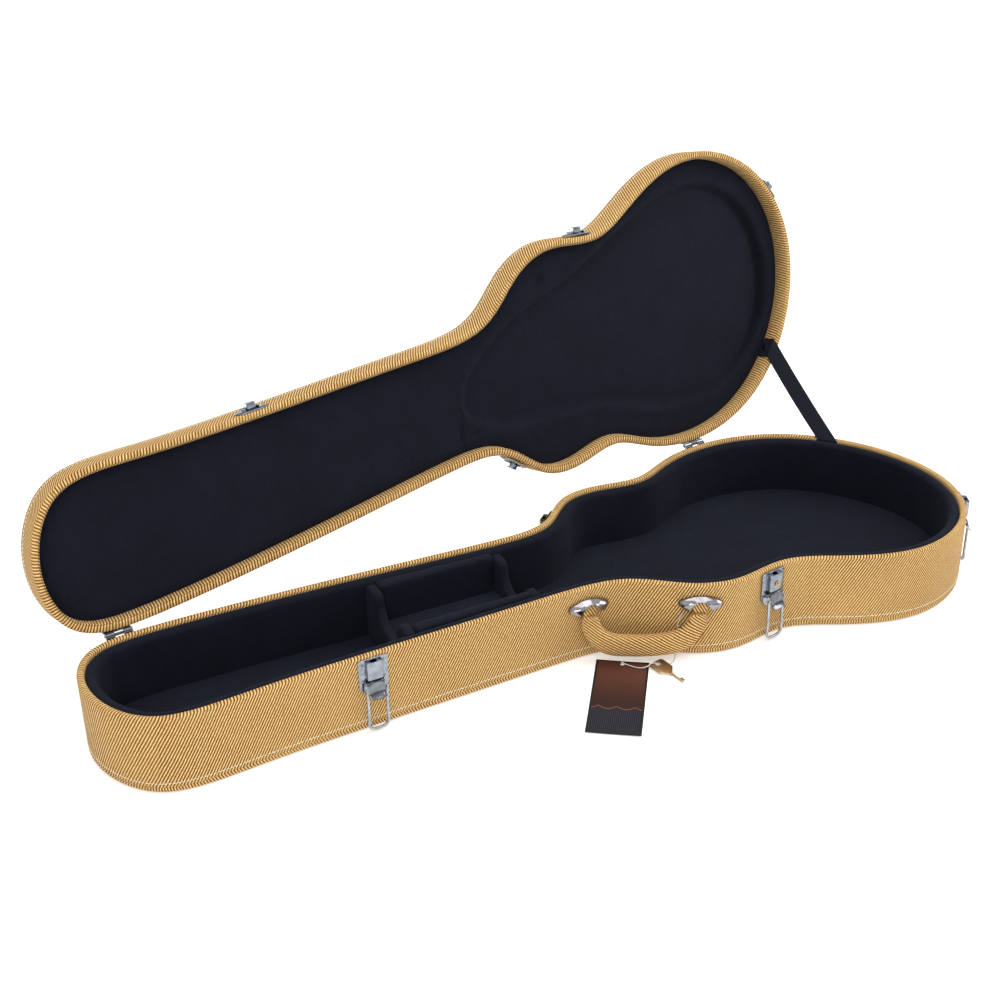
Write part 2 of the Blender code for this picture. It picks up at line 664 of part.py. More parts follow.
def build_strap(pivot):
    """A flat ribbon creased along the wall at each end, where it turns over the rim's inner edge."""
    station = wall_station(STRAP_PLACE)
    base_at = -WALL - 0.0017
    lid_at = LID_OVERHANG - WALL - 0.0032
    base_crease = station @ Vector((0.0, BASE_HEIGHT - 0.001, base_at))
    lid_crease = station @ Vector((0.0, BASE_HEIGHT + RIM_GAP + 0.0015, lid_at))
    lid_turn = Matrix.Rotation(-LID_OPEN, 3, "X")
    along = station.to_3x3() @ Vector((1.0, 0.0, 0.0))
    up = Vector((0.0, 0.0, 1.0))
    span = (opened(lid_crease, pivot) - base_crease).normalized()
    lean = along.dot(span)
    half = STRAP_WIDTH / 2 / math.sqrt(1 - lean * lean)
    base_out = station.to_3x3() @ Vector((0.0, 0.0, 1.0))
    lid_out = lid_turn @ base_out
    side = opened(lid_crease, pivot)
    stations = [
        (base_crease - up * STRAP_TUCK, along, base_out),
        (base_crease - up * STRAP_TUCK / 2, along, base_out),
        (base_crease, along, base_out),
        (base_crease.lerp(side, 1 / 3), along.lerp(lid_turn @ along, 1 / 3), None),
        (base_crease.lerp(side, 2 / 3), along.lerp(lid_turn @ along, 2 / 3), None),
        (side, lid_turn @ along, lid_out),
        (opened(lid_crease + up * STRAP_ON_LID / 2, pivot), lid_turn @ along, lid_out),
        (opened(lid_crease + up * STRAP_ON_LID, pivot), lid_turn @ along, lid_out),
    ]
    corners = []
    for place, edge, out in stations:
        thick = out if out is not None else edge.cross(span).normalized()
        if thick.dot(base_out) < 0:
            thick = -thick
        edge = edge.normalized()
        for a, b in ((-1, -1), (1, -1), (1, 1), (-1, 1)):
            corners.append(place + edge * a * half + thick * b * STRAP_THICKNESS / 2)
    faces = [
        (i * 4 + k, (i + 1) * 4 + k, (i + 1) * 4 + (k + 1) % 4, i * 4 + (k + 1) % 4)
        for i in range(len(stations) - 1)
        for k in range(4)
    ]
    last = (len(stations) - 1) * 4
    faces += [(3, 2, 1, 0), (last, last + 1, last + 2, last + 3)]
    add("stay_strap", mesh_of("stay_strap", corners, faces), "webbing")
    rivet = arc((0.0, 0.0), RIVET_RADIUS, 0, 330, 12)
    head = STRAP_THICKNESS / 2 + GAP + RIVET_HEAD
    base_rivet = shifted(station, y=BASE_HEIGHT - 0.032, z=base_at - head)
    add("strap_rivet_base", mesh_of("rivet", *prism(rivet, 0.0, RIVET_HEAD)), "nickel", base_rivet)
    lid_rivet = shifted(station, y=BASE_HEIGHT + 0.0135, z=lid_at - head)
    add("strap_rivet_lid", mesh_of("rivet", *prism(rivet, 0.0, RIVET_HEAD)), "nickel", lid_rivet, pivot)


def build_tag():
    width, length, thick = TAG_SIZE
    edge = [(-width / 2, -length / 2), (width / 2, -length / 2), (width / 2, length / 2),
            (-width / 2, length / 2)]
    place = Matrix.Translation((*TAG_MIDDLE, 0.0)) @ Matrix.Rotation(TAG_TURN, 4, "Z")
    tag = add("hang_tag", mesh_of("hang_tag", *prism(edge, 0.0, thick)), "tag_card", place)
    punch = arc((0.0, TAG_HOLE), TAG_HOLE_RADIUS, 0, 330, 12)
    cutter = helper("tag_punch", mesh_of("tag_punch", *prism(punch, -0.01, 0.01)), place)
    combine(tag, cutter, "DIFFERENCE")
    return place @ Vector((0.0, TAG_HOLE, 0.0))


def build_key():
    """A flat luggage key: a square bow with a hole, and a round barrel with a small bit. Its bow
    lies on the string, so it leans on its tip."""
    right = [(0.0080, 0.0115), (0.0105, 0.0090), (0.0105, -0.0070), (0.0045, -0.0130),
             (0.0022, -0.0160)]
    bow = right + [(-x, y) for x, y in right][::-1]
    place = Matrix.Translation((*KEY_PLACE, KEY_RISE)) @ Matrix.Rotation(KEY_TURN, 4, "Z")
    place = place @ Matrix.Rotation(KEY_LEAN, 4, "X")
    key = add("key", mesh_of("key", *prism(bow, 0.0, KEY_THICKNESS)), "brass", place)
    hole = arc((0.0, KEY_HOLE), KEY_HOLE_RADIUS, 0, 330, 12)
    cutter = helper("key_hole", mesh_of("key_hole", *prism(hole, -0.01, 0.01)), place)
    combine(key, cutter, "DIFFERENCE")
    barrel = [(x, z + KEY_THICKNESS / 2) for x, z in arc((0.0, 0.0), 0.0014, 0, 315, 8)]
    shaft = helper("key_shaft", mesh_of("key_shaft", *prism(barrel, -0.0345, -0.013, "y")), place)
    bit = [(0.0, -0.0335), (0.0048, -0.0335), (0.0048, -0.0280), (0.0, -0.0280)]
    tooth = helper("key_bit", mesh_of("key_bit", *prism(bit, 0.0004, 0.0014)), place)
    combine(key, shaft, "UNION")
    combine(key, tooth, "UNION")
    return place @ Vector((0.0, KEY_HOLE, 0.0))


def smooth_route(places, count):
    """Points spread along a Catmull-Rom curve through the route's own places."""
    places = [Vector(p) for p in places]
    padded = [places[0] * 2 - places[1]] + places + [places[-1] * 2 - places[-2]]
    route = []
    for i in range(count):
        at = i / (count - 1) * (len(places) - 1)
        k = min(int(at), len(places) - 2)
        t = at - k
        a, b, c, d = padded[k:k + 4]
        route.append(0.5 * (2 * b + (c - a) * t + (2 * a - 5 * b + 4 * c - d) * t**2
                            + (3 * b - a - 3 * c + d) * t**3))
    return route


def build_string(key_hole, tag_hole):
    """From the handle's right leg down to the floor, up through the key and down into the tag.
    Along the wall a place is (along the handle's chord, height, outward)."""
    radius = STRING / 2
    floor = radius + GAP
    on_wall = [
        (0.1080, 0.0600, 0.0012), (0.1052, 0.0520, -0.0006), (0.1030, 0.0440, -0.0014),
        (0.1020, 0.0350, -0.0015), (0.1020, 0.0260, -0.0012), (0.1022, 0.0180, -0.0003),
        (0.1020, 0.0110, 0.0014), (0.1012, 0.0058, 0.0042), (0.0992, 0.0026, 0.0080),
    ]
    plane = handle_plane()
    route = [plane @ Vector(p) for p in on_wall]
    route += [Vector((0.0776, -0.0912, 0.0012)), Vector((0.0730, -0.0926, floor))]
    key_hole = Vector((key_hole.x, key_hole.y, 0.0))
    tag_hole = Vector((tag_hole.x, tag_hole.y, 0.0))
    into_key = key_hole - route[-1]
    into_key.z = 0.0
    into_key.normalize()
    through = [(-0.0115, floor), (-0.0085, 0.0010), (-0.0052, 0.0011), (-0.0019, 0.0026),
               (0.0012, 0.0047), (0.0045, 0.0058), (0.0085, 0.0059)]
    route += [key_hole + into_key * along + Vector((0.0, 0.0, up)) for along, up in through]
    route += [Vector(p) for p in ((0.0448, -0.0862, 0.0049), (0.0392, -0.0838, 0.0034),
                                  (0.0350, -0.0780, 0.0023), (0.0320, -0.0712, 0.0019))]
    from_tag = route[-1] - tag_hole
    from_tag.z = 0.0
    from_tag.normalize()
    onto_tag = [(0.0045, 0.0020), (0.0012, 0.0022), (-0.0012, 0.0022)]
    route += [tag_hole + from_tag * along + Vector((0.0, 0.0, up)) for along, up in onto_tag]
    wire("tag_string", smooth_route(route, STRING_POINTS), radius, "string")


# ---- the case -------------------------------------------------------------------------------
def build():
    clear_scene()
    pivot = lid_pivot()
    floor, inset = build_base()
    build_neck_box(floor, inset)
    build_lid(pivot)
    for label, x in HINGE_PLACES.items():
        build_hinge(label, x, pivot)
    for label, place in LATCH_PLACES.items():
        plane = build_latch(label, place)
        build_catch(label, place, plane, pivot)
    build_handle()
    build_strap(pivot)
    tag_hole = build_tag()
    key_hole = build_key()
    build_string(key_hole, tag_hole)


build()
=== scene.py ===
"""A tweed guitar case standing open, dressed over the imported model: cloth, plush, plated metal."""
import json
import math

import bmesh
import bpy
import numpy as np
from mathutils import Matrix, Vector, geometry


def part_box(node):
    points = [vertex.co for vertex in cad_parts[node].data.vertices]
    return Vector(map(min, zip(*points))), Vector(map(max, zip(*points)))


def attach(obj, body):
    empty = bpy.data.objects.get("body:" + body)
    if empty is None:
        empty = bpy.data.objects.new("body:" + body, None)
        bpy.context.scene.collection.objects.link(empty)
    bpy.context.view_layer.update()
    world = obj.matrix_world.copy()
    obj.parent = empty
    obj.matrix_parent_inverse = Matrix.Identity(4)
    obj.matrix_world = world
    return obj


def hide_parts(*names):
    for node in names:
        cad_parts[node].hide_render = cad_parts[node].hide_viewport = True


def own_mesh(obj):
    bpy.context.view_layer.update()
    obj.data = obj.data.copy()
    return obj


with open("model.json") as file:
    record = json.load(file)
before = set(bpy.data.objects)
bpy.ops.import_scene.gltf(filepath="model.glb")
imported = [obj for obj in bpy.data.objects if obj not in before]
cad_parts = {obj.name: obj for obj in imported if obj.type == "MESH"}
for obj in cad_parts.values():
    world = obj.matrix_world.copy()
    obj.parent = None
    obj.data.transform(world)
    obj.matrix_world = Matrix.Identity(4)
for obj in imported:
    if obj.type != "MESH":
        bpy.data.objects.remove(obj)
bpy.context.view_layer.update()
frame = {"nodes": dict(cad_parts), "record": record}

# ---- driving dimensions, metres -------------------------------------------------------------
BASE_HEIGHT = 0.092
LID_HEIGHT = 0.045
WALL = 0.008
PANEL = 0.008
GAP = 0.0003
RIM = BASE_HEIGHT + 0.0005
LID_TOP = BASE_HEIGHT + LID_HEIGHT
LID_OVERHANG = 0.0015
TURNED_IN = 0.020
LINING = 0.012
FLOOR_TOP = 0.0183
EASE = 0.0028
HINGE_LINE = Vector((0.0, 0.1855, 0.09225))
LID_OPEN = math.radians(104.7)
OUTLINE = [
    (-0.542, 0.098), (-0.500, 0.000), (-0.394, 0.004), (-0.224, -0.008), (-0.054, -0.022),
    (0.050, -0.028), (0.090, -0.088), (0.154, -0.121), (0.227, -0.100), (0.282, -0.146),
    (0.371, -0.193), (0.476, -0.164), (0.535, -0.076), (0.529, 0.038), (0.463, 0.142),
    (0.364, 0.186), (0.268, 0.178), (0.214, 0.144), (0.161, 0.167), (0.098, 0.171),
    (0.052, 0.116), (-0.013, 0.121), (-0.133, 0.141), (-0.283, 0.164), (-0.427, 0.182),
    (-0.511, 0.183),
]
RECESS = [
    (0.000, 0.065), (0.030, 0.010), (0.110, -0.040), (0.190, -0.060), (0.270, -0.110),
    (0.380, -0.155), (0.470, -0.120), (0.505, -0.030), (0.490, 0.060), (0.420, 0.130),
    (0.310, 0.140), (0.210, 0.095), (0.120, 0.100), (0.050, 0.095),
]
PER_SPAN = 14
COARSE_SPAN = 4
FINE_SPAN = 40
STRIPE = 0.0035
LEAN = math.tan(math.radians(30))
RIM_LEAN = 0.30
STITCH_PITCH = 0.0046
STITCH_UP = 0.0130
STITCH_RADIUS = 0.00042

LATCH_PLACES = {"neck": (-0.259, -0.005), "waist": (0.200, -0.109), "tail": (0.507, -0.115),
                "back": (0.065, 0.136)}
LATCH_SHEET = 0.0012
LEVER_UP = 0.060
LEVER_OUT = 0.0042
BAIL_UP = 0.054
BAIL_OUT = 0.008
BAIL_DROP = 0.049
LOCK_UP = 0.075
HINGE_PLACES = {"neck": -0.460, "body": 0.330}
HANDLE_PLACES = {"left": (0.0024, -0.0278), "right": (0.1090, -0.0950)}
HANDLE_PIVOT = (0.056, 0.0070)
CAP_HEIGHT = 0.071
CAP_HALF_LENGTH = 0.025
CAP_HALF_WIDTH = 0.0088
CAP_RISE = 0.011
CAP_SHEET = 0.0013
STRAP_PLACE = (0.487, 0.099)
STRAP_WIDTH = 0.020
STRAP_THICKNESS = 0.0014
TAG_SIZE = (0.060, 0.138, 0.0008)
TAG_MIDDLE = (-0.0142, -0.1092)
TAG_TURN = math.radians(-41.6)
TAG_HOLE = 0.063
KEY_PLACE = (0.0580, -0.0940, 0.0024)
KEY_TURN = math.radians(5)
KEY_LEAN = math.radians(3.0)
KEY_HOLE = 0.0062
KEY_THICKNESS = 0.0018
STRING = 0.0012
STRING_POINTS = 80

UP = Vector((0.0, 0.0, 1.0))
UPRIGHT = Matrix.Identity(4)
OPEN_LID = (Matrix.Translation(HINGE_LINE) @ Matrix.Rotation(-LID_OPEN, 4, "X")
            @ Matrix.Translation(-HINGE_LINE))


def put(name, data):
    """A new object in the scene."""
    obj = bpy.data.objects.new(name, data)
    bpy.context.scene.collection.objects.link(obj)
    return obj


# ---- camera, light and floor ----------------------------------------------------------------
def build_camera():
    camera = bpy.data.cameras.new("camera")
    camera.lens = 55.8
    camera.sensor_width = 36.0
    camera.clip_end = 50.0
    place = (-0.871, -1.208, 0.994)
    right = Vector((0.8352, -0.5496, -0.0169))
    forward = Vector((0.4773, 0.7398, -0.4742)).normalized()
    up = right.cross(forward).normalized()
    right = forward.cross(up)
    obj = put("camera", camera)
    obj.matrix_world = Matrix((right, up, -forward)).transposed().to_4x4()
    obj.location = place
    bpy.context.scene.camera = obj


def area_light(name, place, aim, size, power, colour):
    light = bpy.data.lights.new(name, "AREA")
    light.shape = "RECTANGLE"
    light.size, light.size_y = size
    light.energy = power
    light.color = colour
    obj = put(name, light)
    obj.location = place
    obj.rotation_euler = (Vector(aim) - Vector(place)).to_track_quat("-Z", "Y").to_euler()


def build_studio():
    bpy.context.scene.view_settings.view_transform = "Standard"
    world = bpy.data.worlds.new("studio")
    bpy.context.scene.world = world
    world.use_nodes = True
    tree = world.node_tree
    spot = tree.nodes.new("ShaderNodeTexCoord")
    split = tree.nodes.new("ShaderNodeSeparateXYZ")
    ramp = tree.nodes.new("ShaderNodeValToRGB")
    tree.links.new(spot.outputs["Generated"], split.inputs[0])
    tree.links.new(split.outputs["Z"], ramp.inputs[0])
    ground, sky = ramp.color_ramp.elements
    ground.position, ground.color = 0.12, (1.08, 1.08, 1.08, 1)
    sky.position, sky.color = 0.80, (1.05, 1.05, 1.05, 1)
    for position, grey in ((0.26, 0.30), (0.50, 0.42), (0.62, 0.95)):
        ramp.color_ramp.elements.new(position).color = (grey, grey, grey * 1.03, 1)
    background = tree.nodes["Background"]
    tree.links.new(ramp.outputs[0], background.inputs["Color"])
    background.inputs["Strength"].default_value = 0.98
    area_light("key_light", (-1.5, -2.0, 2.3), (0.0, 0.0, 0.1), (1.8, 1.8), 37, (1.0, 0.98, 0.95))
    area_light("top_light", (0.4, 0.2, 2.8), (0.0, 0.1, 0.0), (2.4, 1.8), 31, (1.0, 1.0, 1.0))
    area_light("side_light", (2.3, -0.9, 1.5), (0.1, 0.0, 0.1), (1.2, 1.4), 20, (0.96, 0.98, 1.0))
    mesh = bpy.data.meshes.new("studio_floor")
    mesh.from_pydata([(-9, -9, 0), (9, -9, 0), (9, 12, 0), (-9, 12, 0)], [], [(0, 1, 2, 3)])
    mesh.materials.append(Nodes("pale_floor").finish(
        Base_Color=(0.93, 0.93, 0.93, 1), Roughness=0.85, Specular_IOR_Level=0.1,
        Emission_Color=(1.0, 1.0, 1.0, 1), Emission_Strength=0.28))
    put("studio_floor", mesh)


# ---- materials ------------------------------------------------------------------------------
class Nodes:
    """One material's node tree, built call by call."""

    def __init__(self, name):
        self.material = bpy.data.materials.new(name)
        self.material.use_nodes = True
        self.tree = self.material.node_tree
        self.shader = self.tree.nodes["Principled BSDF"]

    def feed(self, socket, value):
        if isinstance(value, bpy.types.NodeSocket):
            self.tree.links.new(value, socket)
        else:
            socket.default_value = value

    def add(self, kind, inputs, **settings):
        node = self.tree.nodes.new("ShaderNode" + kind)
        for key, value in settings.items():
            setattr(node, key, value)
        for key, value in inputs.items():
            self.feed(node.inputs[key], value)
        return node

    def math(self, operation, *values):
        return self.add("Math", dict(enumerate(values)), operation=operation).outputs[0]

    def blend(self, factor, first, second):
        """A mix of two colours, each a socket or three numbers."""
        first, second = (c if isinstance(c, bpy.types.NodeSocket) else (*c, 1)
                         for c in (first, second))
        return self.add("Mix", {0: factor, 6: first, 7: second}, data_type="RGBA").outputs[2]

    def span(self, value, low, high, to_low=0.0, to_high=1.0):
        inputs = {0: value, 1: low, 2: high, 3: to_low, 4: to_high}
        return self.add("MapRange", inputs, interpolation_type="SMOOTHSTEP").outputs[0]

    def noise(self, where, scale, detail=2.0):
        inputs = {"Vector": where, "Scale": scale, "Detail": detail}
        return self.add("TexNoise", inputs).outputs[0]

    def place(self):
        return self.add("TexCoord", {}).outputs["Object"]

    def cloth(self):
        uv = self.add("UVMap", {}, uv_map="cloth").outputs[0]
        split = self.add("SeparateXYZ", {0: uv})
        return uv, split.outputs[0], split.outputs[1]

    def wave(self, value, length):
        """A sine from 0 to 1 with the given wavelength."""
        turn = self.math("SINE", self.math("MULTIPLY", value, 2 * math.pi / length))
        return self.math("MULTIPLY_ADD", turn, 0.5, 0.5)

    def bump(self, height, distance, strength, normal=None):
        inputs = {"Height": height, "Distance": distance, "Strength": strength}
        if normal is not None:
            inputs["Normal"] = normal
        return self.add("Bump", inputs).outputs[0]

    def finish(self, **values):
        for key, value in values.items():
            self.feed(self.shader.inputs[key.replace("_", " ")], value)
        return self.material


def shade_of(colour, share):
    return [c * share for c in colour]


def tweed_material():
    """Gold cloth with a brown diagonal rib, woven from slubby threads."""
    thread = 0.00095
    n = Nodes("tweed")
    uv, u, v = n.cloth()
    wander = n.math("MULTIPLY_ADD", n.noise(uv, 55), 0.0011, -0.00055)
    across = n.math("ADD", n.math("SUBTRACT", u, n.math("MULTIPLY", v, LEAN)), wander)
    rib = n.wave(across, STRIPE)
    slub = n.noise(uv, 900, 3)
    brown = n.span(n.math("MULTIPLY_ADD", slub, 0.55, rib), 0.62, 0.98)
    threads = n.math("MULTIPLY", n.wave(v, thread), n.wave(u, thread))
    gold = n.blend(n.span(n.noise(uv, 420, 3), 0.35, 0.7), (0.80, 0.55, 0.24), (0.55, 0.32, 0.10))
    gold = n.blend(n.math("MULTIPLY", threads, 0.35), gold, (0.92, 0.70, 0.33))
    dark = n.blend(slub, (0.072, 0.022, 0.002), (0.205, 0.082, 0.012))
    colour = n.blend(brown, dark, gold)
    worn = n.span(n.noise(uv, 7, 3), 0.35, 0.75, 0.0, 0.22)
    colour = n.blend(worn, colour, (0.66, 0.43, 0.16))
    height = n.math("MULTIPLY_ADD", threads, 0.45, n.math("MULTIPLY", rib, 0.55))
    normal = n.bump(slub, 0.0002, 0.6, n.bump(height, 0.00035, 0.8))
    return n.finish(Base_Color=colour, Roughness=n.span(slub, 0.2, 0.8, 0.72, 0.92), Normal=normal,
                    Sheen_Weight=0.03, Sheen_Roughness=0.5, Specular_IOR_Level=0.12)


def plush_material():
    """Short dark pile, brushed here and there, with painted shade in the lid's creases."""
    low, high = (0.0043, 0.0052, 0.0102), (0.0108, 0.0132, 0.0265)
    n = Nodes("plush")
    where = n.place()
    brushed = n.span(n.noise(where, 26, 4), 0.32, 0.70)
    mottle = n.noise(where, 240, 3)
    pile = n.noise(where, 1900, 2)
    shade = n.math("MULTIPLY_ADD", mottle, 0.55, n.math("MULTIPLY", brushed, 0.22))
    colour = n.blend(shade, low, high)
    colour = n.blend(n.math("MULTIPLY", pile, 0.4), colour, shade_of(low, 0.35))
    pressed = n.add("Attribute", {}, attribute_name="pressed").outputs["Fac"]
    # painted shade: the pile is darkened in the lid lining's recess corner, fold and dimple
    colour = n.blend(pressed, colour, shade_of(low, 0.25))
    normal = n.bump(pile, 0.0006, 0.9, n.bump(mottle, 0.0012, 0.35))
    return n.finish(Base_Color=colour, Roughness=n.span(pile, 0.2, 0.8, 0.82, 1.0), Normal=normal,
                    Sheen_Weight=0.04, Sheen_Roughness=0.45, Sheen_Tint=(0.55, 0.62, 0.78, 1),
                    Specular_IOR_Level=0.15)


def metal_material(name, bright, dull, smooth, rough):
    """Plated or polished metal, with fine rubbing marks and patchy polish."""
    n = Nodes(name)
    where = n.place()
    stretched = n.add("Mapping", {"Vector": where, "Scale": (1.0, 1.0, 9.0)}).outputs[0]
    cloudy = n.span(n.noise(where, 130, 4), 0.3, 0.75)
    rubbed = n.noise(stretched, 1500, 2)
    gloss = n.math("ADD", n.span(cloudy, 0.0, 1.0, smooth, rough),
                   n.math("MULTIPLY_ADD", rubbed, 0.10, -0.05))
    return n.finish(Base_Color=n.blend(cloudy, bright, dull), Roughness=gloss,
                    Normal=n.bump(rubbed, 0.00004, 0.25), Metallic=1.0)


def webbing_material():
    n = Nodes("webbing")
    uv, u, v = n.cloth()
    weave = n.math("MULTIPLY", n.wave(v, 0.0017), n.wave(u, 0.0011))
    fuzz = n.noise(uv, 1500, 3)
    colour = n.blend(weave, (0.005, 0.006, 0.010), (0.018, 0.023, 0.036))
    colour = n.blend(n.span(fuzz, 0.45, 0.8, 0.0, 0.4), colour, (0.030, 0.036, 0.052))
    normal = n.bump(n.math("ADD", weave, n.math("MULTIPLY", fuzz, 0.3)), 0.0003, 0.8)
    return n.finish(Base_Color=colour, Roughness=n.span(fuzz, 0.2, 0.8, 0.55, 0.8), Normal=normal,
                    Specular_IOR_Level=0.12)


def thread_material(name, light, shade):
    """Twisted thread: a fine slanting ply with a little fuzz."""
    n = Nodes(name)
    where = n.place()
    x, y, z = n.add("SeparateXYZ", {0: where}).outputs
    ply = n.wave(n.math("ADD", n.math("ADD", x, y), z), 0.0008)
    fuzz = n.noise(where, 2500, 2)
    return n.finish(Base_Color=n.blend(n.math("MULTIPLY", ply, fuzz), light, shade),
                    Roughness=n.span(fuzz, 0.2, 0.8, 0.6, 0.85),
                    Normal=n.bump(ply, 0.00012, 0.6), Sheen_Weight=0.1)


def card_material():
    """Printed card: a dark border, a brown field above three scallops, fine lines below."""
    width, length, _ = TAG_SIZE
    border, sharp = 0.0025, 0.0001
    n = Nodes("tag_print")
    uv, u, v = n.cloth()
    grain = n.noise(uv, 1300, 4)
    fade = n.span(v, -0.02, length / 2, 0.0, 1.0)
    brown = n.blend(fade, (0.026, 0.008, 0.006), (0.105, 0.036, 0.021))
    lines = n.span(n.wave(u, 0.0021), 0.72, 0.9)
    striped = n.blend(lines, (0.005, 0.006, 0.010), (0.026, 0.030, 0.045))
    scallop = n.math("ABSOLUTE", n.math("SINE", n.math("MULTIPLY", u, 3 * math.pi / width)))
    beyond = n.math("SUBTRACT", v, n.math("MULTIPLY_ADD", scallop, -0.0050, -0.0180))
    field = n.blend(n.span(beyond, -sharp, sharp), striped, brown)
    band = n.span(n.math("ABSOLUTE", beyond), 0.0004, 0.0009, 1.0, 0.0)
    field = n.blend(band, field, (0.21, 0.060, 0.035))
    side = n.math("SUBTRACT", width / 2 - border, n.math("ABSOLUTE", u))
    end = n.math("SUBTRACT", length / 2 - border, n.math("ABSOLUTE", v))
    within = n.span(n.math("MINIMUM", side, end), -sharp, sharp)
    colour = n.blend(within, (0.010, 0.009, 0.010), field)
    colour = n.blend(n.span(grain, 0.5, 0.9, 0.0, 0.12), colour, (0.30, 0.28, 0.27))
    return n.finish(Base_Color=colour, Roughness=n.span(grain, 0.3, 0.7, 0.42, 0.58),
                    Specular_IOR_Level=0.2, Normal=n.bump(grain, 0.00005, 0.4))


TWEED = tweed_material()
PLUSH = plush_material()
NICKEL = metal_material("nickel", (0.30, 0.33, 0.37), (0.20, 0.22, 0.26), 0.10, 0.24)
CHROME = metal_material("chrome", (0.31, 0.30, 0.32), (0.19, 0.18, 0.19), 0.04, 0.12)
SMOKED = metal_material("lever_nickel", (0.20, 0.21, 0.23), (0.12, 0.13, 0.145), 0.12, 0.26)
STEEL = metal_material("steel_wire", (0.40, 0.43, 0.46), (0.28, 0.30, 0.33), 0.20, 0.36)
BRASS = metal_material("brass", (0.54, 0.40, 0.24), (0.33, 0.235, 0.135), 0.26, 0.48)
# dark metal: the strap rivet heads, and the keyhole's painted shade
DARK_METAL_AND_HOLE_SHADE = metal_material("dark_metal_and_keyhole_shade", (0.035, 0.035, 0.04), (0.015, 0.015, 0.018),
                           0.35, 0.6)
WEBBING = webbing_material()
STITCH = thread_material("stitch_thread", (0.86, 0.84, 0.76), (0.55, 0.50, 0.40))
TAN_THREAD = thread_material("tan_thread", (0.50, 0.30, 0.11), (0.26, 0.13, 0.04))
STRING_WHITE = thread_material("string", (0.66, 0.66, 0.66), (0.40, 0.40, 0.41))
CARD = card_material()


# ---- shapes ---------------------------------------------------------------------------------
def curve(control, per_span):
    """Points, unit outward normals and distance walked on a closed cubic B-spline."""
    control = np.array(control)
    span, step = np.divmod(np.arange(len(control) * per_span), per_span)
    t = step / per_span
    weights = np.stack([
        (1 - t) ** 3, 3 * t**3 - 6 * t**2 + 4, -3 * t**3 + 3 * t**2 + 3 * t + 1, t**3,
    ]) / 6
    slopes = np.stack([-((1 - t) ** 2), 3 * t**2 - 4 * t, -3 * t**2 + 2 * t + 1, t**2]) / 2
    near = [control[(span + k) % len(control)] for k in range(4)]
    points = sum(w[:, None] * p for w, p in zip(weights, near))
    along = sum(s[:, None] * p for s, p in zip(slopes, near))
    along /= np.linalg.norm(along, axis=1)[:, None]
    walked = np.linalg.norm(np.roll(points, -1, axis=0) - points, axis=1)
    walked = np.concatenate([[0.0], np.cumsum(walked)])
    return points, np.stack([along[:, 1], -along[:, 0]], axis=1), walked


def arc(centre, radius, start, end, steps):
    """Points on an arc, in degrees."""
    return [(centre[0] + radius * math.cos(a), centre[1] + radius * math.sin(a))
            for a in np.radians(np.linspace(start, end, steps))]


def ring(centre, radius, steps):
    """Points all round a circle."""
    return arc(centre, radius, 0, 360 - 360 / steps, steps)


def symmetric(half):
    """A drawing that starts as given and comes back mirrored across x = 0."""
    return half + [(-x, y) for x, y in half[::-1]]


def block(left, right, low, high):
    """A rectangle's corners, from its sides taken in either order."""
    left, right = sorted((left, right))
    return [(left, low), (right, low), (right, high), (left, high)]


def wall_plane(point, normal):
    """x along the wall, y up, z out of it."""
    along = Vector((-normal[1], normal[0], 0.0))
    out = Vector((normal[0], normal[1], 0.0))
    matrix = Matrix((along, UP, out)).transposed().to_4x4()
    matrix.translation = (point[0], point[1], 0.0)
    return matrix


def wall_station(place, overhang=0.0):
    points, normals, _ = curve(OUTLINE, FINE_SPAN)
    at = np.argmin(np.linalg.norm(points - np.array(place), axis=1))
    return wall_plane(points[at] + normals[at] * overhang, normals[at])


def stand_off(matrix, half_width, overhang=0.0):
    """How far a flat plate stands out so that the curved wall behind it stays clear."""
    beside, nearby = half_width + 0.001, 0.03
    points, normals, _ = curve(OUTLINE, COARSE_SPAN)
    corners = points + normals * overhang
    ahead = np.roll(corners, -1, axis=0)
    inverse = matrix.inverted()
    reach = [inverse @ Vector((*place, 0.0)) for share in np.linspace(0, 1, 13)
             for place in corners + (ahead - corners) * share]
    return max(p.z for p in reach if abs(p.x) < beside and abs(p.z) < nearby) + GAP


def shifted(matrix, x=0.0, y=0.0, z=0.0):
    return matrix @ Matrix.Translation((x, y, z))


def piece(name, mesh, material, body, slot, *replaced, angle=40):
    """A finished object: it rides on a body and stands for its CAD nodes; its slot is not used."""
    repaint(mesh, material)
    mesh.shade_smooth()
    mesh.set_sharp_from_angle(angle=math.radians(angle))
    obj = put(name, mesh)
    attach(obj, body)
    if replaced:
        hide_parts(*replaced)
    return obj


def padding(name, mesh, body, fill, *replaced):
    """A padded plush piece."""
    piece(name, mesh, PLUSH, body, "plush", *replaced, angle=60)


def repaint(mesh, material):
    mesh.materials.clear()
    mesh.materials.append(material)


def woven(name, corners, faces, places, matrix=UPRIGHT):
    """A mesh with its cloth map: places holds each face's corners in metres of cloth, and faces
    past the last of them, which are hidden ends, get none."""
    mesh = bpy.data.meshes.new(name)
    mesh.from_pydata([matrix @ Vector(c) for c in corners], [], faces)
    mapped = [place for face in places for place in face]
    mapped += [(0.0, 0.0)] * (sum(len(face) for face in faces) - len(mapped))
    mesh.uv_layers.new(name="cloth").data.foreach_set("uv", np.array(mapped).ravel())
    mesh.validate()
    return mesh


def sleeve(rows, sides, closed=False, flip=False):
    """The faces over rows of corners, each row a ring, and where the corners of each side face
    are, as (row, place in the row), which count past the last one where the face wraps round.
    A sleeve has ends unless its last row is joined to its first."""
    order = ((0, 0), (1, 0), (1, 1), (0, 1)) if flip else ((0, 0), (0, 1), (1, 1), (1, 0))
    spots = [[(i + a, k + b) for a, b in order]
             for i in range(rows if closed else rows - 1) for k in range(sides)]
    faces = [tuple(i % rows * sides + k % sides for i, k in face) for face in spots]
    if not closed:
        last = (rows - 1) * sides
        faces += [tuple(range(sides))[::-1], tuple(range(last, last + sides))]
    return faces, spots


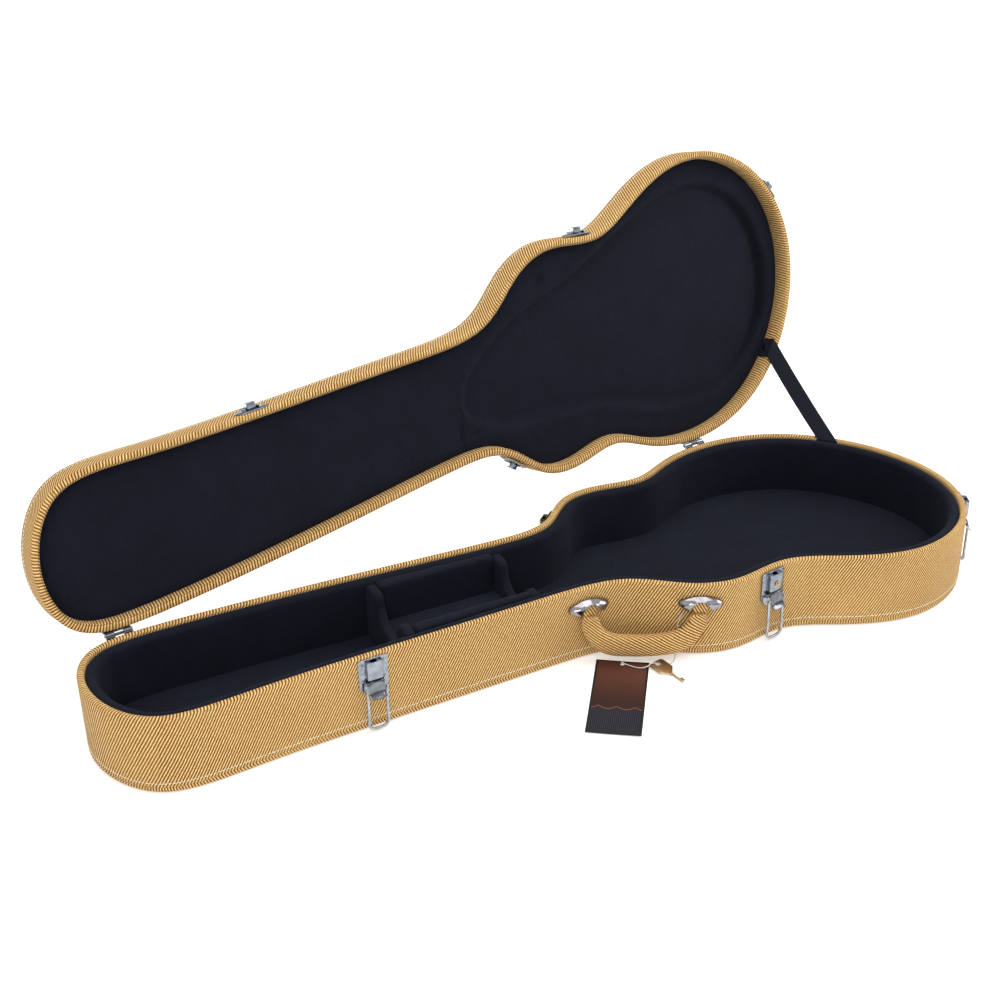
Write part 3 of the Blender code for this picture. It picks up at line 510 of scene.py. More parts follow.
def hoop(name, profile, matrix=UPRIGHT, lean=1.0, shift=None):
    """A ring that follows the outline. profile is a closed loop of (outward offset, height);
    shift moves a point by its place round the ring and its place on the profile."""
    points, normals, walked = curve(OUTLINE, PER_SPAN)
    scale = round(walked[-1] / STRIPE) * STRIPE / walked[-1]
    corners = []
    for i, (point, normal) in enumerate(zip(points, normals)):
        for k, (offset, height) in enumerate(profile):
            if shift is not None:
                offset += shift(walked[i] / walked[-1], k)
            corners.append((*(point + normal * offset), height))
    rise = [0.0]
    for (a, b), (c, d) in zip(profile, profile[1:] + profile[:1]):
        flat = abs(c - a) > abs(d - b)
        rise.append(rise[-1] + math.hypot(c - a, d - b) * (RIM_LEAN if flat else lean))
    faces, spots = sleeve(len(points), len(profile), closed=True, flip=True)
    places = [[(walked[i] * scale, rise[k]) for i, k in face] for face in spots]
    return woven(name, corners, faces, places, matrix)


def board(name, profile, matrix=UPRIGHT):
    """A plate in the outline's shape. profile runs up its edge as (outward offset, height)."""
    points, normals, _ = curve(OUTLINE, PER_SPAN)
    corners = [(*(p + n * offset), height) for offset, height in profile
               for p, n in zip(points, normals)]
    run = profile if profile[0][0] < profile[-1][0] else profile[::-1]
    unrolled = [run[0][0]]
    for here, there in zip(run, run[1:]):
        unrolled.append(unrolled[-1] + math.dist(here, there))
    unrolled = unrolled if run is profile else unrolled[::-1]
    cloth = [tuple(p + n * offset) for offset in unrolled for p, n in zip(points, normals)]
    faces, _ = sleeve(len(profile), len(points))
    return woven(name, corners, faces, [[cloth[c] for c in face] for face in faces], matrix)


def inside(x, y, loop):
    """Which of the points lie inside a closed loop."""
    found = np.zeros(len(x), bool)
    for (x1, y1), (x2, y2) in zip(loop, np.roll(loop, -1, axis=0)):
        if y1 != y2:
            found ^= ((y1 > y) != (y2 > y)) & (x < (x2 - x1) * (y - y1) / (y2 - y1) + x1)
    return found


def distance(x, y, loop):
    """How far each point is from a closed loop, negative inside it."""
    best = np.full(len(x), 1e9)
    for a, b in zip(loop, np.roll(loop, -1, axis=0)):
        edge = b - a
        share = np.clip(((x - a[0]) * edge[0] + (y - a[1]) * edge[1]) / (edge @ edge), 0, 1)
        best = np.minimum(best, np.hypot(x - a[0] - share * edge[0], y - a[1] - share * edge[1]))
    return np.where(inside(x, y, loop), -best, best)


def smoothstep(value, low, high):
    t = np.clip((value - low) / (high - low), 0, 1)
    return t * t * (3 - 2 * t)


def bell(value, middle, width):
    return np.exp(-(((value - middle) / width) ** 2))


def ripple(x, y, length, seed):
    """Gentle unevenness, about -1 to 1, with bumps of about the given length."""
    waves = 7
    draw = np.random.default_rng(seed)
    total = np.zeros(np.shape(x))
    for _ in range(waves):
        angle, phase = draw.uniform(0, 2 * math.pi, 2)
        size = length * draw.uniform(0.6, 1.7)
        total += np.sin((x * math.cos(angle) + y * math.sin(angle)) * 2 * math.pi / size + phase)
    return total / waves


def lining_sheet(name, offset, spacing, height, back):
    """A padded sheet in the outline's shape: height gives its face, back is its flat far side."""
    points, normals, _ = curve(OUTLINE, PER_SPAN)
    loop = points + normals * offset
    low, high = loop.min(0), loop.max(0)
    x, y = (g.ravel() for g in np.meshgrid(np.arange(low[0], high[0], spacing),
                                           np.arange(low[1], high[1], spacing)))
    kept = distance(x, y, loop) < -0.6 * spacing
    count = len(loop)
    flat = [Vector(p) for p in loop] + [Vector(p) for p in zip(x[kept], y[kept])]
    edges = [(i, (i + 1) % count) for i in range(count)]
    laid, _, faces, *_ = geometry.delaunay_2d_cdt(flat, edges, [], 1, 1e-7)
    plan = np.array([tuple(p) for p in laid])
    depth = height(plan[:, 0], plan[:, 1], distance(plan[:, 0], plan[:, 1], loop))
    mesh = bpy.data.meshes.new(name)
    mesh.from_pydata([(*p, z) for p, z in zip(plan, depth)], [], [tuple(f) for f in faces])
    shape = bmesh.new()
    shape.from_mesh(mesh)
    rim = [e for e in shape.edges if e.is_boundary]
    skirt = bmesh.ops.extrude_edge_only(shape, edges=rim)["geom"]
    for vert in (v for v in skirt if isinstance(v, bmesh.types.BMVert)):
        vert.co.z = back
    bmesh.ops.contextual_create(shape, geom=[e for e in shape.edges if e.is_boundary])
    bmesh.ops.recalc_face_normals(shape, faces=shape.faces)
    shape.to_mesh(mesh)
    shape.free()
    return mesh


class Shape:
    """Closed shapes gathered into one mesh, each with its sharp edges rounded."""

    def __init__(self):
        self.whole = bmesh.new()

    def add(self, corners, faces, matrix=UPRIGHT, bevel=0.0, segments=2, sharp=25):
        part = bmesh.new()
        verts = [part.verts.new(c) for c in corners]
        for face in faces:
            part.faces.new([verts[i] for i in face])
        bmesh.ops.recalc_face_normals(part, faces=part.faces)
        if bevel:
            edges = [e for e in part.edges if e.calc_face_angle(0) > math.radians(sharp)]
            bmesh.ops.bevel(part, geom=edges, offset=bevel, segments=segments, profile=0.5,
                            affect="EDGES", clamp_overlap=True)
        part.transform(matrix)
        mesh = bpy.data.meshes.new("part")
        part.to_mesh(mesh)
        part.free()
        self.whole.from_mesh(mesh)
        bpy.data.meshes.remove(mesh)
        return self

    def prism(self, loop, low, high, axis="z", **finish):
        """A closed drawing extruded along one axis: x takes (y, z) drawings, y (x, z) ones and
        z (x, y) ones."""
        order = {"x": lambda a, b, d: (d, a, b), "y": lambda a, b, d: (a, d, b),
                 "z": lambda a, b, d: (a, b, d)}[axis]
        corners = [order(a, b, depth) for depth in sorted((low, high)) for a, b in loop]
        return self.add(corners, sleeve(2, len(loop))[0], **finish)

    def turned(self, profile, matrix=UPRIGHT, steps=20):
        """A shape turned about z: profile runs from the axis out and back, as (radius, height)."""
        corners = [(radius * math.cos(a), radius * math.sin(a), height)
                   for radius, height in profile for a in np.arange(steps) * 2 * math.pi / steps]
        return self.add(corners, sleeve(len(profile), steps)[0], matrix)

    def dome(self, radius, height, matrix=UPRIGHT):
        """A rivet's head, standing on z = 0, with a shank below it."""
        shank, almost_up = 0.0006, 1.45
        rise = [(radius * math.cos(a), height * math.sin(a)) for a in np.linspace(0, almost_up, 6)]
        return self.turned([(radius, -shank)] + rise, matrix)

    def shell(self, front, back, **finish):
        """A sheet between two grids of points, closed round its edges."""
        rows, columns, _ = np.shape(front)
        corners = [tuple(p) for p in np.concatenate([front, back]).reshape(-1, 3)]
        index = np.arange(rows * columns).reshape(rows, columns)
        far = index.size
        faces = []
        for square in zip(*(part.ravel() for part in (
                index[:-1, :-1], index[:-1, 1:], index[1:, 1:], index[1:, :-1]))):
            faces += [square, tuple(far + i for i in square[::-1])]
        edge = [*index[0], *index[1:, -1], *index[-1, -2::-1], *index[-2:0:-1, 0]]
        faces += [(b, a, far + a, far + b) for a, b in zip(edge, edge[1:] + edge[:1])]
        return self.add(corners, faces, **finish)

    def tube(self, route, radius, sides, matrix=UPRIGHT):
        """Round wire along a route of points, with flat ends."""
        route = [Vector(p) for p in route]
        across = heading(route, 0).normalized().orthogonal().normalized()
        corners = []
        for i, point in enumerate(route):
            ahead = heading(route, i).normalized()
            across = (across - ahead * across.dot(ahead)).normalized()
            other = ahead.cross(across)
            corners += [tuple(point + across * radius * math.cos(a) + other * radius * math.sin(a))
                        for a in np.arange(sides) * 2 * math.pi / sides]
        return self.add(corners, sleeve(len(route), sides)[0], matrix)

    def mesh(self, name, matrix=UPRIGHT):
        self.whole.transform(matrix)
        mesh = bpy.data.meshes.new(name)
        self.whole.to_mesh(mesh)
        self.whole.free()
        return mesh

    def finish(self, name, matrix, material, body, slot, *replaced, angle=40):
        return piece(name, self.mesh(name, matrix), material, body, slot, *replaced, angle=angle)


def heading(route, i):
    """Which way a route runs at one of its points."""
    return route[min(i + 1, len(route) - 1)] - route[max(i - 1, 0)]


def smooth_route(places, count):
    """Points spread along a Catmull-Rom curve through the route's own places."""
    places = [Vector(p) for p in places]
    padded = [places[0] * 2 - places[1]] + places + [places[-1] * 2 - places[-2]]
    route = []
    for i in range(count):
        at = i / (count - 1) * (len(places) - 1)
        k = min(int(at), len(places) - 2)
        t = at - k
        a, b, c, d = padded[k:k + 4]
        route.append(0.5 * (2 * b + (c - a) * t + (2 * a - 5 * b + 4 * c - d) * t**2
                            + (3 * b - a - 3 * c + d) * t**3))
    return route


def ribbon(name, stations, width, thickness):
    """A flat strip through stations of (place, edge direction, face direction), with its map.
    A shorter edge direction makes the strip narrower there."""
    corners, rise = [], [0.0]
    spread = np.linspace(-1, 1, 7)
    for k, (place, edge, out) in enumerate(stations):
        out = out.normalized()
        if k:
            rise.append(rise[-1] + (place - stations[k - 1][0]).length)
        for side in (1, -1):
            for a in spread * side:
                depth = thickness / 2 * (1 - 0.35 * a**6)
                corners.append(place + edge * a * width / 2 + out * side * depth)
    mapped = [a * width / 2 for a in spread] + [width - a * width / 2 for a in spread]
    mapped.append(mapped[0] + 2 * width)
    faces, spots = sleeve(len(stations), len(spread) * 2)
    return woven(name, corners, faces, [[(mapped[k], rise[i]) for i, k in face] for face in spots])


def strip(name, places, count, across, width, thickness):
    """A ribbon along a smooth route, with its edges across it."""
    route = smooth_route(places, count)
    stations = [(p, across, across.cross(heading(route, i))) for i, p in enumerate(route)]
    return ribbon(name, stations, width, thickness)


def evaluated(obj):
    """The mesh that an object's modifiers make. The object itself is removed."""
    graph = bpy.context.evaluated_depsgraph_get()
    mesh = bpy.data.meshes.new_from_object(obj.evaluated_get(graph))
    bpy.data.objects.remove(obj)
    return mesh


def punched(mesh, up, radius):
    """The mesh with a round hole cut through it."""
    blank = put("blank", mesh)
    cutter = put("punch", Shape().prism(ring((0.0, up), radius, 24), -0.01, 0.01).mesh("punch"))
    cut = blank.modifiers.new("cut", "BOOLEAN")
    cut.operation = "DIFFERENCE"
    cut.object = cutter
    mesh = evaluated(blank)
    bpy.data.objects.remove(cutter)
    return mesh


def softened(node, voxel, spread, lumps, seed):
    """A plush block: a CAD block remeshed, rounded off and made a little uneven."""
    lump_size = 0.035
    obj = put(node + "_rough", frame["nodes"][node].data.copy())
    remesh = obj.modifiers.new("remesh", "REMESH")
    remesh.mode = "VOXEL"
    remesh.voxel_size = voxel
    smooth = obj.modifiers.new("smooth", "SMOOTH")
    smooth.factor = 0.5
    smooth.iterations = spread
    mesh = evaluated(obj)
    places = np.array([v.co for v in mesh.vertices])
    normals = np.array([v.normal for v in mesh.vertices])
    x, y, z = places.T
    swell = ripple(x + z, y - z, lump_size, seed) * lumps
    mesh.vertices.foreach_set("co", (places + normals * swell[:, None]).ravel())
    return mesh


# ---- tweed shells ---------------------------------------------------------------------------
def stitches(name, offset, height, matrix, body):
    """A row of thread dashes all round a wall."""
    points, normals, walked = curve(OUTLINE, PER_SPAN)
    count = round(walked[-1] / STITCH_PITCH)
    half, sunk = 0.34 * STITCH_PITCH, -1.2 * STITCH_RADIUS
    dash = [(-half, 0, sunk), (-half * 0.7, 0, 0.0001), (half * 0.7, 0, 0.0001), (half, 0, sunk)]
    shape = Shape()
    for i in range(count):
        at = (i + 0.5) / count * walked[-1]
        k = int(np.searchsorted(walked, at)) - 1
        share = (at - walked[k]) / (walked[k + 1] - walked[k])
        ahead = (k + 1) % len(points)
        place = points[k] + (points[ahead] - points[k]) * share
        normal = normals[k] + (normals[ahead] - normals[k]) * share
        plane = wall_plane(place + normal * offset, normal / np.linalg.norm(normal))
        shape.tube(dash, STITCH_RADIUS, 6, matrix @ shifted(plane, y=height))
    shape.finish(name, UPRIGHT, STITCH, body, "tweed", angle=60)


def rounded(offset, height, radius, start, steps=5):
    """A quarter turn of a wall's edge, as (offset, height), from start degrees."""
    return arc((offset, height), radius, start, start + 90, steps)


def build_shells():
    low, top, out = PANEL + GAP, BASE_HEIGHT, LID_OVERHANG
    base_wall = [(0.0, low), (0.0, 0.030), (0.0, 0.060)]
    base_wall += rounded(-EASE, top - EASE, EASE, 0)
    base_wall += rounded(EASE - WALL, top - EASE, EASE, 90) + [(-WALL, low)]
    under = [(-0.007, 0.0)] + arc((-0.0062, 0.0062), 0.0062, -80, 0, 6) + [(0.0, PANEL)]
    wall_top = LID_TOP - PANEL - GAP
    lid_wall = [(out, wall_top), (out - WALL, wall_top), (out - WALL, RIM + 0.010)]
    lid_wall += rounded(out - WALL + EASE, RIM + EASE, EASE, 180)
    lid_wall += rounded(out - EASE, RIM + EASE, EASE, 270)
    over = [(out, LID_TOP - PANEL)] + arc((out - 0.007, LID_TOP - 0.007), 0.007, 0, 82, 7)
    over += [(-0.030, LID_TOP), (-0.031, LID_TOP)]
    for body, matrix, wall, panel in (("base", UPRIGHT, base_wall, under),
                                      ("lid", OPEN_LID, lid_wall, over)):
        name = f"{body}_wall_cloth"
        piece(name, hoop(name, wall, matrix), TWEED, body, "tweed", f"{body}_wall")
        name = f"{body}_panel_cloth"
        piece(name, board(name, panel, matrix), TWEED, body, "tweed", f"{body}_panel")
    inner = out - WALL - GAP
    edge = RIM + TURNED_IN
    band = [(inner, edge), (inner - 0.0008, edge), (inner - 0.0014, edge - 0.0008),
            (inner - 0.0012, RIM + 0.004), (inner - 0.0004, RIM + 0.0022), (inner, RIM + 0.0022)]
    mesh = hoop("lid_turned_in_band", band, OPEN_LID, lean=RIM_LEAN)
    piece("lid_turned_in_band", mesh, TWEED, "lid", "tweed", "lid_inner_band")
    stitches("base_stitching", 0.0, STITCH_UP, UPRIGHT, "base")
    stitches("lid_stitching", out, LID_TOP - STITCH_UP, OPEN_LID, "lid")


# ---- plush linings --------------------------------------------------------------------------
def floor_height(x, y, _):
    """The base's floor: soft, with a worn hollow under the guitar's body."""
    hollow = smoothstep(np.hypot((x - 0.33) / 1.25, y), 0.16, 0.05) * 0.0012
    return FLOOR_TOP + 0.0004 * ripple(x, y, 0.060, 3) - hollow + 0.0002 * ripple(x, y, 0.016, 5)


def lid_marks(x, y):
    """A short fold across the lid's waist and a dimple, each from 0 to 1."""
    start, end = np.array((0.010, 0.039)), np.array((0.003, 0.101))
    run = (end - start) / np.linalg.norm(end - start)
    beside = (x - start[0]) * run[1] - (y - start[1]) * run[0]
    along = (x - start[0]) * run[0] + (y - start[1]) * run[1]
    fold = bell(beside, 0.0, 0.0022) * smoothstep(along, -0.012, 0.006)
    fold *= smoothstep(along, 0.076, 0.056)
    return fold, bell(np.hypot(x - 0.145, y + 0.071), 0.0, 0.007)


def lid_height(x, y, edge):
    """The lid's padding, seen in the closed lid: a soft border, then a shallow recess."""
    border, deep = RIM + TURNED_IN + GAP, LID_TOP - PANEL - 0.0078
    recess = distance(x, y, curve(RECESS, PER_SPAN)[0])
    sunk = smoothstep(recess, 0.005, -0.008) + bell(recess, -0.006, 0.003) * 0.16
    lip = bell(recess, 0.009, 0.006) * 0.0010
    rolled = smoothstep(edge, -0.010, 0.0) * 0.0022
    fold, dimple = lid_marks(x, y)
    uneven = 0.00045 * ripple(x, y, 0.070, 11) + 0.00018 * ripple(x, y, 0.018, 12)
    marks = 0.0018 * fold + 0.0016 * dimple
    return border + (deep - border) * sunk - lip + rolled + marks + uneven


def lid_painted_shade(x, y):
    """Painted shade on the lid's pile, from 0 to 1: in the recess's corner, most at the body end,
    and along the fold and in the dimple.
    """
    recess = distance(x, y, curve(RECESS, PER_SPAN)[0])
    end = smoothstep(x, 0.36, 0.47) * smoothstep(np.abs(y + 0.02), 0.14, 0.05)
    fold, dimple = lid_marks(x, y)
    corner = bell(recess, -0.003, 0.0020 + 0.0045 * end) * (0.50 + 0.45 * end)
    return np.maximum(corner, 0.7 * np.maximum(fold, dimple))


def side_shift(profile, amount):
    """Puckers down the side lining: its inner face moves in and out round the ring."""
    draw = np.random.default_rng(21)
    waves = [(n, draw.uniform(0, 2 * math.pi), draw.uniform(0.4, 1.0))
             for n in (9, 14, 23, 31, 47, 64)]
    face = [0.0 if offset > -WALL - 0.006 else 1.0 for offset, _ in profile]

    def shift(share, k):
        total = sum(w * math.sin(2 * math.pi * n * share + phase + 0.35 * k)
                    for n, phase, w in waves)
        return amount * face[k] * total / 3

    return shift


def build_linings():
    inner = -WALL - GAP
    mesh = lining_sheet("base_floor_lining", inner, 0.0060, floor_height, PANEL + GAP)
    padding("base_floor_lining", mesh, "base", 0.5, "base_floor_pad")
    face, top = inner - LINING, BASE_HEIGHT - 0.0022
    side = [(inner, FLOOR_TOP), (inner, 0.050), (inner, top - 0.003)]
    side += arc((inner - 0.004, top - 0.0035), 0.0035, 20, 90, 5)
    side += rounded(face + 0.0065, top - 0.0065, 0.0065, 90, 7)
    side += [(face - 0.0005, 0.070), (face - 0.0010, 0.055), (face - 0.0008, 0.040),
             (face, 0.026), (face + 0.0005, FLOOR_TOP)]
    mesh = hoop("base_side_plush", side, shift=side_shift(side, 0.0006))
    padding("base_side_plush", mesh, "base", 0.7, "base_side_lining")
    blocks = ("cradle_neck_end", "cradle_body_end", "neck_pad_front", "neck_pad_back")
    for seed, node in enumerate(blocks, 31):
        mesh = softened(node, 0.0026, 5, 0.0005, seed)
        padding(node + "_plush", mesh, "base", 0.8, node)
    mesh = softened("compartment_lid", 0.0016, 3, 0.0001, 35)
    padding("compartment_lid_plush", mesh, "compartment_door", 0.9, "compartment_lid")
    build_pull_tab()
    offset = LID_OVERHANG - WALL - 2 * GAP
    mesh = lining_sheet("lid_lining", offset, 0.0045, lid_height, LID_TOP - PANEL - GAP)
    places = np.array([v.co.xy for v in mesh.vertices])
    # painted shade for the lid's creases, kept on the mesh for the plush material to darken
    layer = mesh.attributes.new("pressed", "FLOAT", "POINT")
    layer.data.foreach_set("value", lid_painted_shade(places[:, 0], places[:, 1]).astype(np.float32))
    mesh.transform(OPEN_LID)
    padding("lid_lining", mesh, "lid", 0.6, "lid_pad", "lid_border_pad")


def build_pull_tab():
    """A folded end of webbing on the accessory compartment's lid."""
    low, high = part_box("compartment_pull_tab")
    turn = Matrix.Rotation(math.radians(-6.6), 3, "Z")
    across, run = turn @ Vector((1, 0, 0)), turn @ Vector((0, 1, 0))
    middle = (low + high) / 2
    start = Vector((middle.x, middle.y, low.z)) - run * 0.0095
    drawing = [(0.0, 0.0006), (0.004, 0.0007), (0.009, 0.0007), (0.013, 0.0012), (0.0165, 0.0038),
               (0.0203, 0.0068)]
    places = [start + run * a + UP * b for a, b in drawing]
    mesh = strip("compartment_pull_ribbon", places, 14, across, 0.018, 0.0011)
    piece("compartment_pull_ribbon", mesh, WEBBING, "compartment_door", "webbing",
          "compartment_pull_tab")


# ---- hardware -------------------------------------------------------------------------------
def latch_plane(label):
    """The latch's own drawing plane, from its lever's axis."""
    joints = {j["name"]: j for j in frame["record"]["behaviour"]["joints"]}
    hinge = joints[f"lever_{label}_flip"]
    along = Vector(hinge["axis"]).normalized()
    out = Vector((along.y, -along.x, 0.0))
    return wall_plane(Vector(hinge["pos_m"]) - out * LEVER_OUT, out)


def build_latch_plate(label, plane):
    """A pressed plate with the channel that holds the lever, its ears, rivets and ridges."""
    half, top, foot, sheet = 0.017, 0.089, 0.044, LATCH_SHEET
    side = arc((half - 0.0025, top - 0.0025), 0.0025, 90, 0, 5)
    side += arc((half - 0.007, foot + 0.013), 0.007, 0, -48, 6)
    side += arc((0.005, foot + 0.005), 0.005, -60, -90, 4)
    shape = Shape().prism(symmetric(side), 0.0, sheet, bevel=0.0003)
    rise, wide = 0.0075, 0.0093
    outer = symmetric([(wide, sheet / 2)] + rounded(wide - 0.0022, rise - 0.0022, 0.0022, 0))
    hollow = symmetric([(wide - sheet, sheet / 2)]
                       + rounded(wide - 0.0024, rise - 0.0024, 0.0012, 0, 4))
    shape.prism(outer + hollow[::-1], 0.066, 0.087, "y", bevel=0.00025)
    ear = [(0.0632, 0.0004)] + arc((LEVER_UP, LEVER_OUT), 0.0021, 5, 175, 9) + [(0.0568, 0.0004)]
    for side in (-1, 1):
        roof = block(side * 0.0032, side * (wide - sheet / 2), sheet, rise - sheet / 2)
        shape.prism(roof, 0.0855, 0.0866, "y", bevel=0.0002)
        for up in (0.0838, 0.0628):
            shape.dome(0.0019, 0.0010, Matrix.Translation((side * 0.0133, up, sheet)))
        ridge = [(side * x, y, sheet) for x, y in (
            (0.0112, 0.0855), (0.0112, 0.0680), (0.0122, 0.0668), (0.0142, 0.0668),
            (0.0152, 0.0680), (0.0152, 0.0855))]
        if label != "neck":
            shape.tube(smooth_route(ridge, 26), 0.0005, 8)
        shape.prism(ear, side * 0.0098, side * 0.0110, "x", bevel=0.0002)
    brow = [(x, 0.0885 - 0.9 * x * x / half, sheet) for x in np.linspace(-0.0150, 0.0150, 13)]
    shape.tube(brow, 0.0004, 8)
    shape.finish(f"latch_{label}_plate_formed", plane, NICKEL, "base", "nickel",
                 f"latch_{label}_plate")


def build_lever(label, plane):
    """A dished thumb tab over a rolled barrel, with a lip that turns out."""
    half, sheet = 0.0094, 0.0011
    drawing = [(0.0022, 0.0030), (-0.0006, 0.0042), (-0.0040, 0.0049), (-0.0080, 0.0058),
               (-0.0110, 0.0074), (-0.0135, 0.0097), (-0.0146, 0.0105)]
    face = smooth_route([(0.0, y, z) for y, z in drawing], 17)
    front, back = [], []
    for i, point in enumerate(face):
        t = i / (len(face) - 1)
        ahead = heading(face, i).normalized()
        out = Vector((0.0, -ahead.z, ahead.y))
        out = -out if out.z < 0 else out
        reach = half * (1 - 0.05 * t - 0.20 * max(0.0, t - 0.80) ** 2 / 0.04)
        deep = sheet * math.sin(math.pi * min(t * 1.1, 1))
        front.append([Vector((x * reach, point.y, point.z))
                      - out * deep * (1 - min(abs(x) / 0.82, 1.0) ** 4)
                      for x in np.linspace(-1, 1, 15)])
        back.append([place - out * sheet for place in front[-1]])
    shape = Shape().shell(front, back, bevel=0.00022, sharp=50)
    shape.prism(ring((0.0, 0.0), 0.0022, 24), -half, half, "x", bevel=0.0003)
    web = [(0.0004, 0.0019), (-0.0010, 0.0036), (-0.0036, 0.0042), (-0.0038, 0.0030),
           (-0.0014, 0.0004)]
    shape.prism(web, -0.0084, 0.0084, "x", bevel=0.0002)
    shape.finish(f"latch_{label}_thumb_lever", shifted(plane, y=LEVER_UP, z=LEVER_OUT), SMOKED,
                 f"lever_{label}", "nickel", f"latch_{label}_lever")


def build_bail(label, plane):
    """The wire loop, pinched at its waist, with a knob where each end sits in the lever."""
    side, corner, radius = 0.0115, 0.0075, 0.0017
    straight = np.linspace(0.0, corner - BAIL_DROP, 9)[:-1]
    half = [(side - 0.0006 * math.sin(math.pi * i / 8), y) for i, y in enumerate(straight)]
    half += arc((side - corner, corner - BAIL_DROP), corner, 0, -90, 12)
    shape = Shape().tube([(x, y, 0.0) for x, y in symmetric(half)], radius, 14)
    knob = [(0.0010, -0.0014), (0.0019, -0.0010), (0.0021, 0.0), (0.0019, 0.0010),
            (0.0010, 0.0014)]
    for end in (-1, 1):
        turn = Matrix.Rotation(end * math.pi / 2, 4, "Y")
        shape.turned(knob, Matrix.Translation((end * 0.0117, 0.0004, 0.0)) @ turn, 16)
    shape.finish(f"latch_{label}_wire_bail", shifted(plane, y=BAIL_UP, z=BAIL_OUT), STEEL,
                 f"bail_{label}", "steel_wire", f"latch_{label}_bail")


def build_catch(label, place, plane):
    """The lid's half: a winged plate, a raised housing and the hook that the wire pulls on."""
    foot, head, half, wire, slim = 0.0937, 0.1115, 0.021, 0.0015, 0.0003
    middle, waist = (foot + head) / 2, half - 0.0075
    wing = arc((half - 0.0016, middle), 0.0016, -60, 60, 5)
    drawing = symmetric([(waist, foot)] + wing + [(waist, head)])
    station = wall_station(place, LID_OVERHANG)
    flat = shifted(station, z=stand_off(station, half, LID_OVERHANG))
    shape = Shape().prism(drawing, 0.0, LATCH_SHEET, bevel=slim)
    for side in (-1, 1):
        shape.dome(0.0020, 0.0010, Matrix.Translation((side * 0.0150, middle, LATCH_SHEET)))
    wire_out = (flat.inverted() @ shifted(plane, z=BAIL_OUT).translation).z
    wire_up = BAIL_UP + BAIL_DROP
    shelf, lip, low = wire_up - wire - GAP, wire_out + wire + 0.0004, 0.0006
    hook = [(shelf - 0.0025, low), (shelf - 0.0025, lip + 0.0008), (shelf - 0.0018, lip + 0.0012),
            (wire_up + 0.0030, lip + 0.0012), (wire_up + 0.0030, lip), (shelf, lip), (shelf, low)]
    shape.prism(hook, -0.005, 0.005, "x", bevel=slim)
    roof, wide, back = wire_out - wire - 2 * GAP, 0.0088, 0.1104
    shape.prism(block(-wide, wide, 0.1013, back), roof - 0.0010, roof, bevel=slim)
    shape.prism(block(-wide, wide, 0.1094, back), low, roof - 0.0005, bevel=0.0002)
    for side in (-1, 1):
        shape.prism(block(side * wide, side * 0.0076, 0.0970, back), low, roof - 0.0002,
                    bevel=slim)
    shape.finish(f"latch_{label}_catch_formed", OPEN_LID @ flat, NICKEL, "lid", "nickel",
                 f"latch_{label}_catch")


def build_lock(plane):
    """The key lock's face: a turned rim, a disc, and a keyhole made of thin black pieces
    of painted shade on the disc.
    """
    rim = [(0.0002, 0.0), (0.0036, 0.0), (0.0036, 0.0008), (0.0031, 0.0013), (0.0026, 0.0013),
           (0.0024, 0.0009), (0.0002, 0.0009)]
    Shape().turned(rim, steps=28).finish(
        "lock_face", shifted(plane, y=LOCK_UP, z=0.0077), BRASS, "lock", "brass", "lock_cylinder")
    # painted shade: the keyhole is not cut; a thin black slot and disc stand for the shadow in the
    # hole
    deep = 0.00025
    slot = Shape().prism(block(-0.0004, 0.0004, -0.0017, 0.0006), 0.0, deep, bevel=0.0001)
    slot.turned([(0.0009, 0.0), (0.0009, deep)], Matrix.Translation((0, 0.0008, 0)), 14)
    slot.finish("lock_keyhole", shifted(plane, y=LOCK_UP, z=0.0086), DARK_METAL_AND_HOLE_SHADE, "lock", "brass")


def build_hinges():
    """The leaves' and pins' metal, and two screws in each leaf on the base."""
    apart, up, sunk = 0.010, 0.0065, 0.0016
    for label, x in HINGE_PLACES.items():
        for leaf in ("base", "lid"):
            repaint(frame["nodes"][f"hinge_{label}_{leaf}_leaf"].data, NICKEL)
        repaint(frame["nodes"][f"hinge_{label}_pin"].data, STEEL)
        low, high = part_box(f"hinge_{label}_base_leaf")
        shape = Shape()
        for side in (-apart, apart):
            face = Matrix.Translation((x + side, high.y - sunk, low.z + up))
            shape.dome(0.0024, 0.0010, face @ Matrix.Rotation(-math.pi / 2, 4, "X"))
        shape.finish(f"hinge_{label}_base_screws", UPRIGHT, NICKEL, "base", "nickel")


def build_latches():
    for label, place in LATCH_PLACES.items():
        plane = latch_plane(label)
        build_latch_plate(label, plane)
        build_lever(label, plane)
        build_bail(label, plane)
        build_catch(label, place, plane)
        repaint(frame["nodes"][f"latch_{label}_pin"].data, STEEL)
    build_lock(latch_plane("waist"))


# ---- handle ---------------------------------------------------------------------------------
def handle_plane():
    left, right = Vector(HANDLE_PLACES["left"]), Vector(HANDLE_PLACES["right"])
    along = (right - left).normalized()
    return wall_plane(left, (along.y, -along.x))


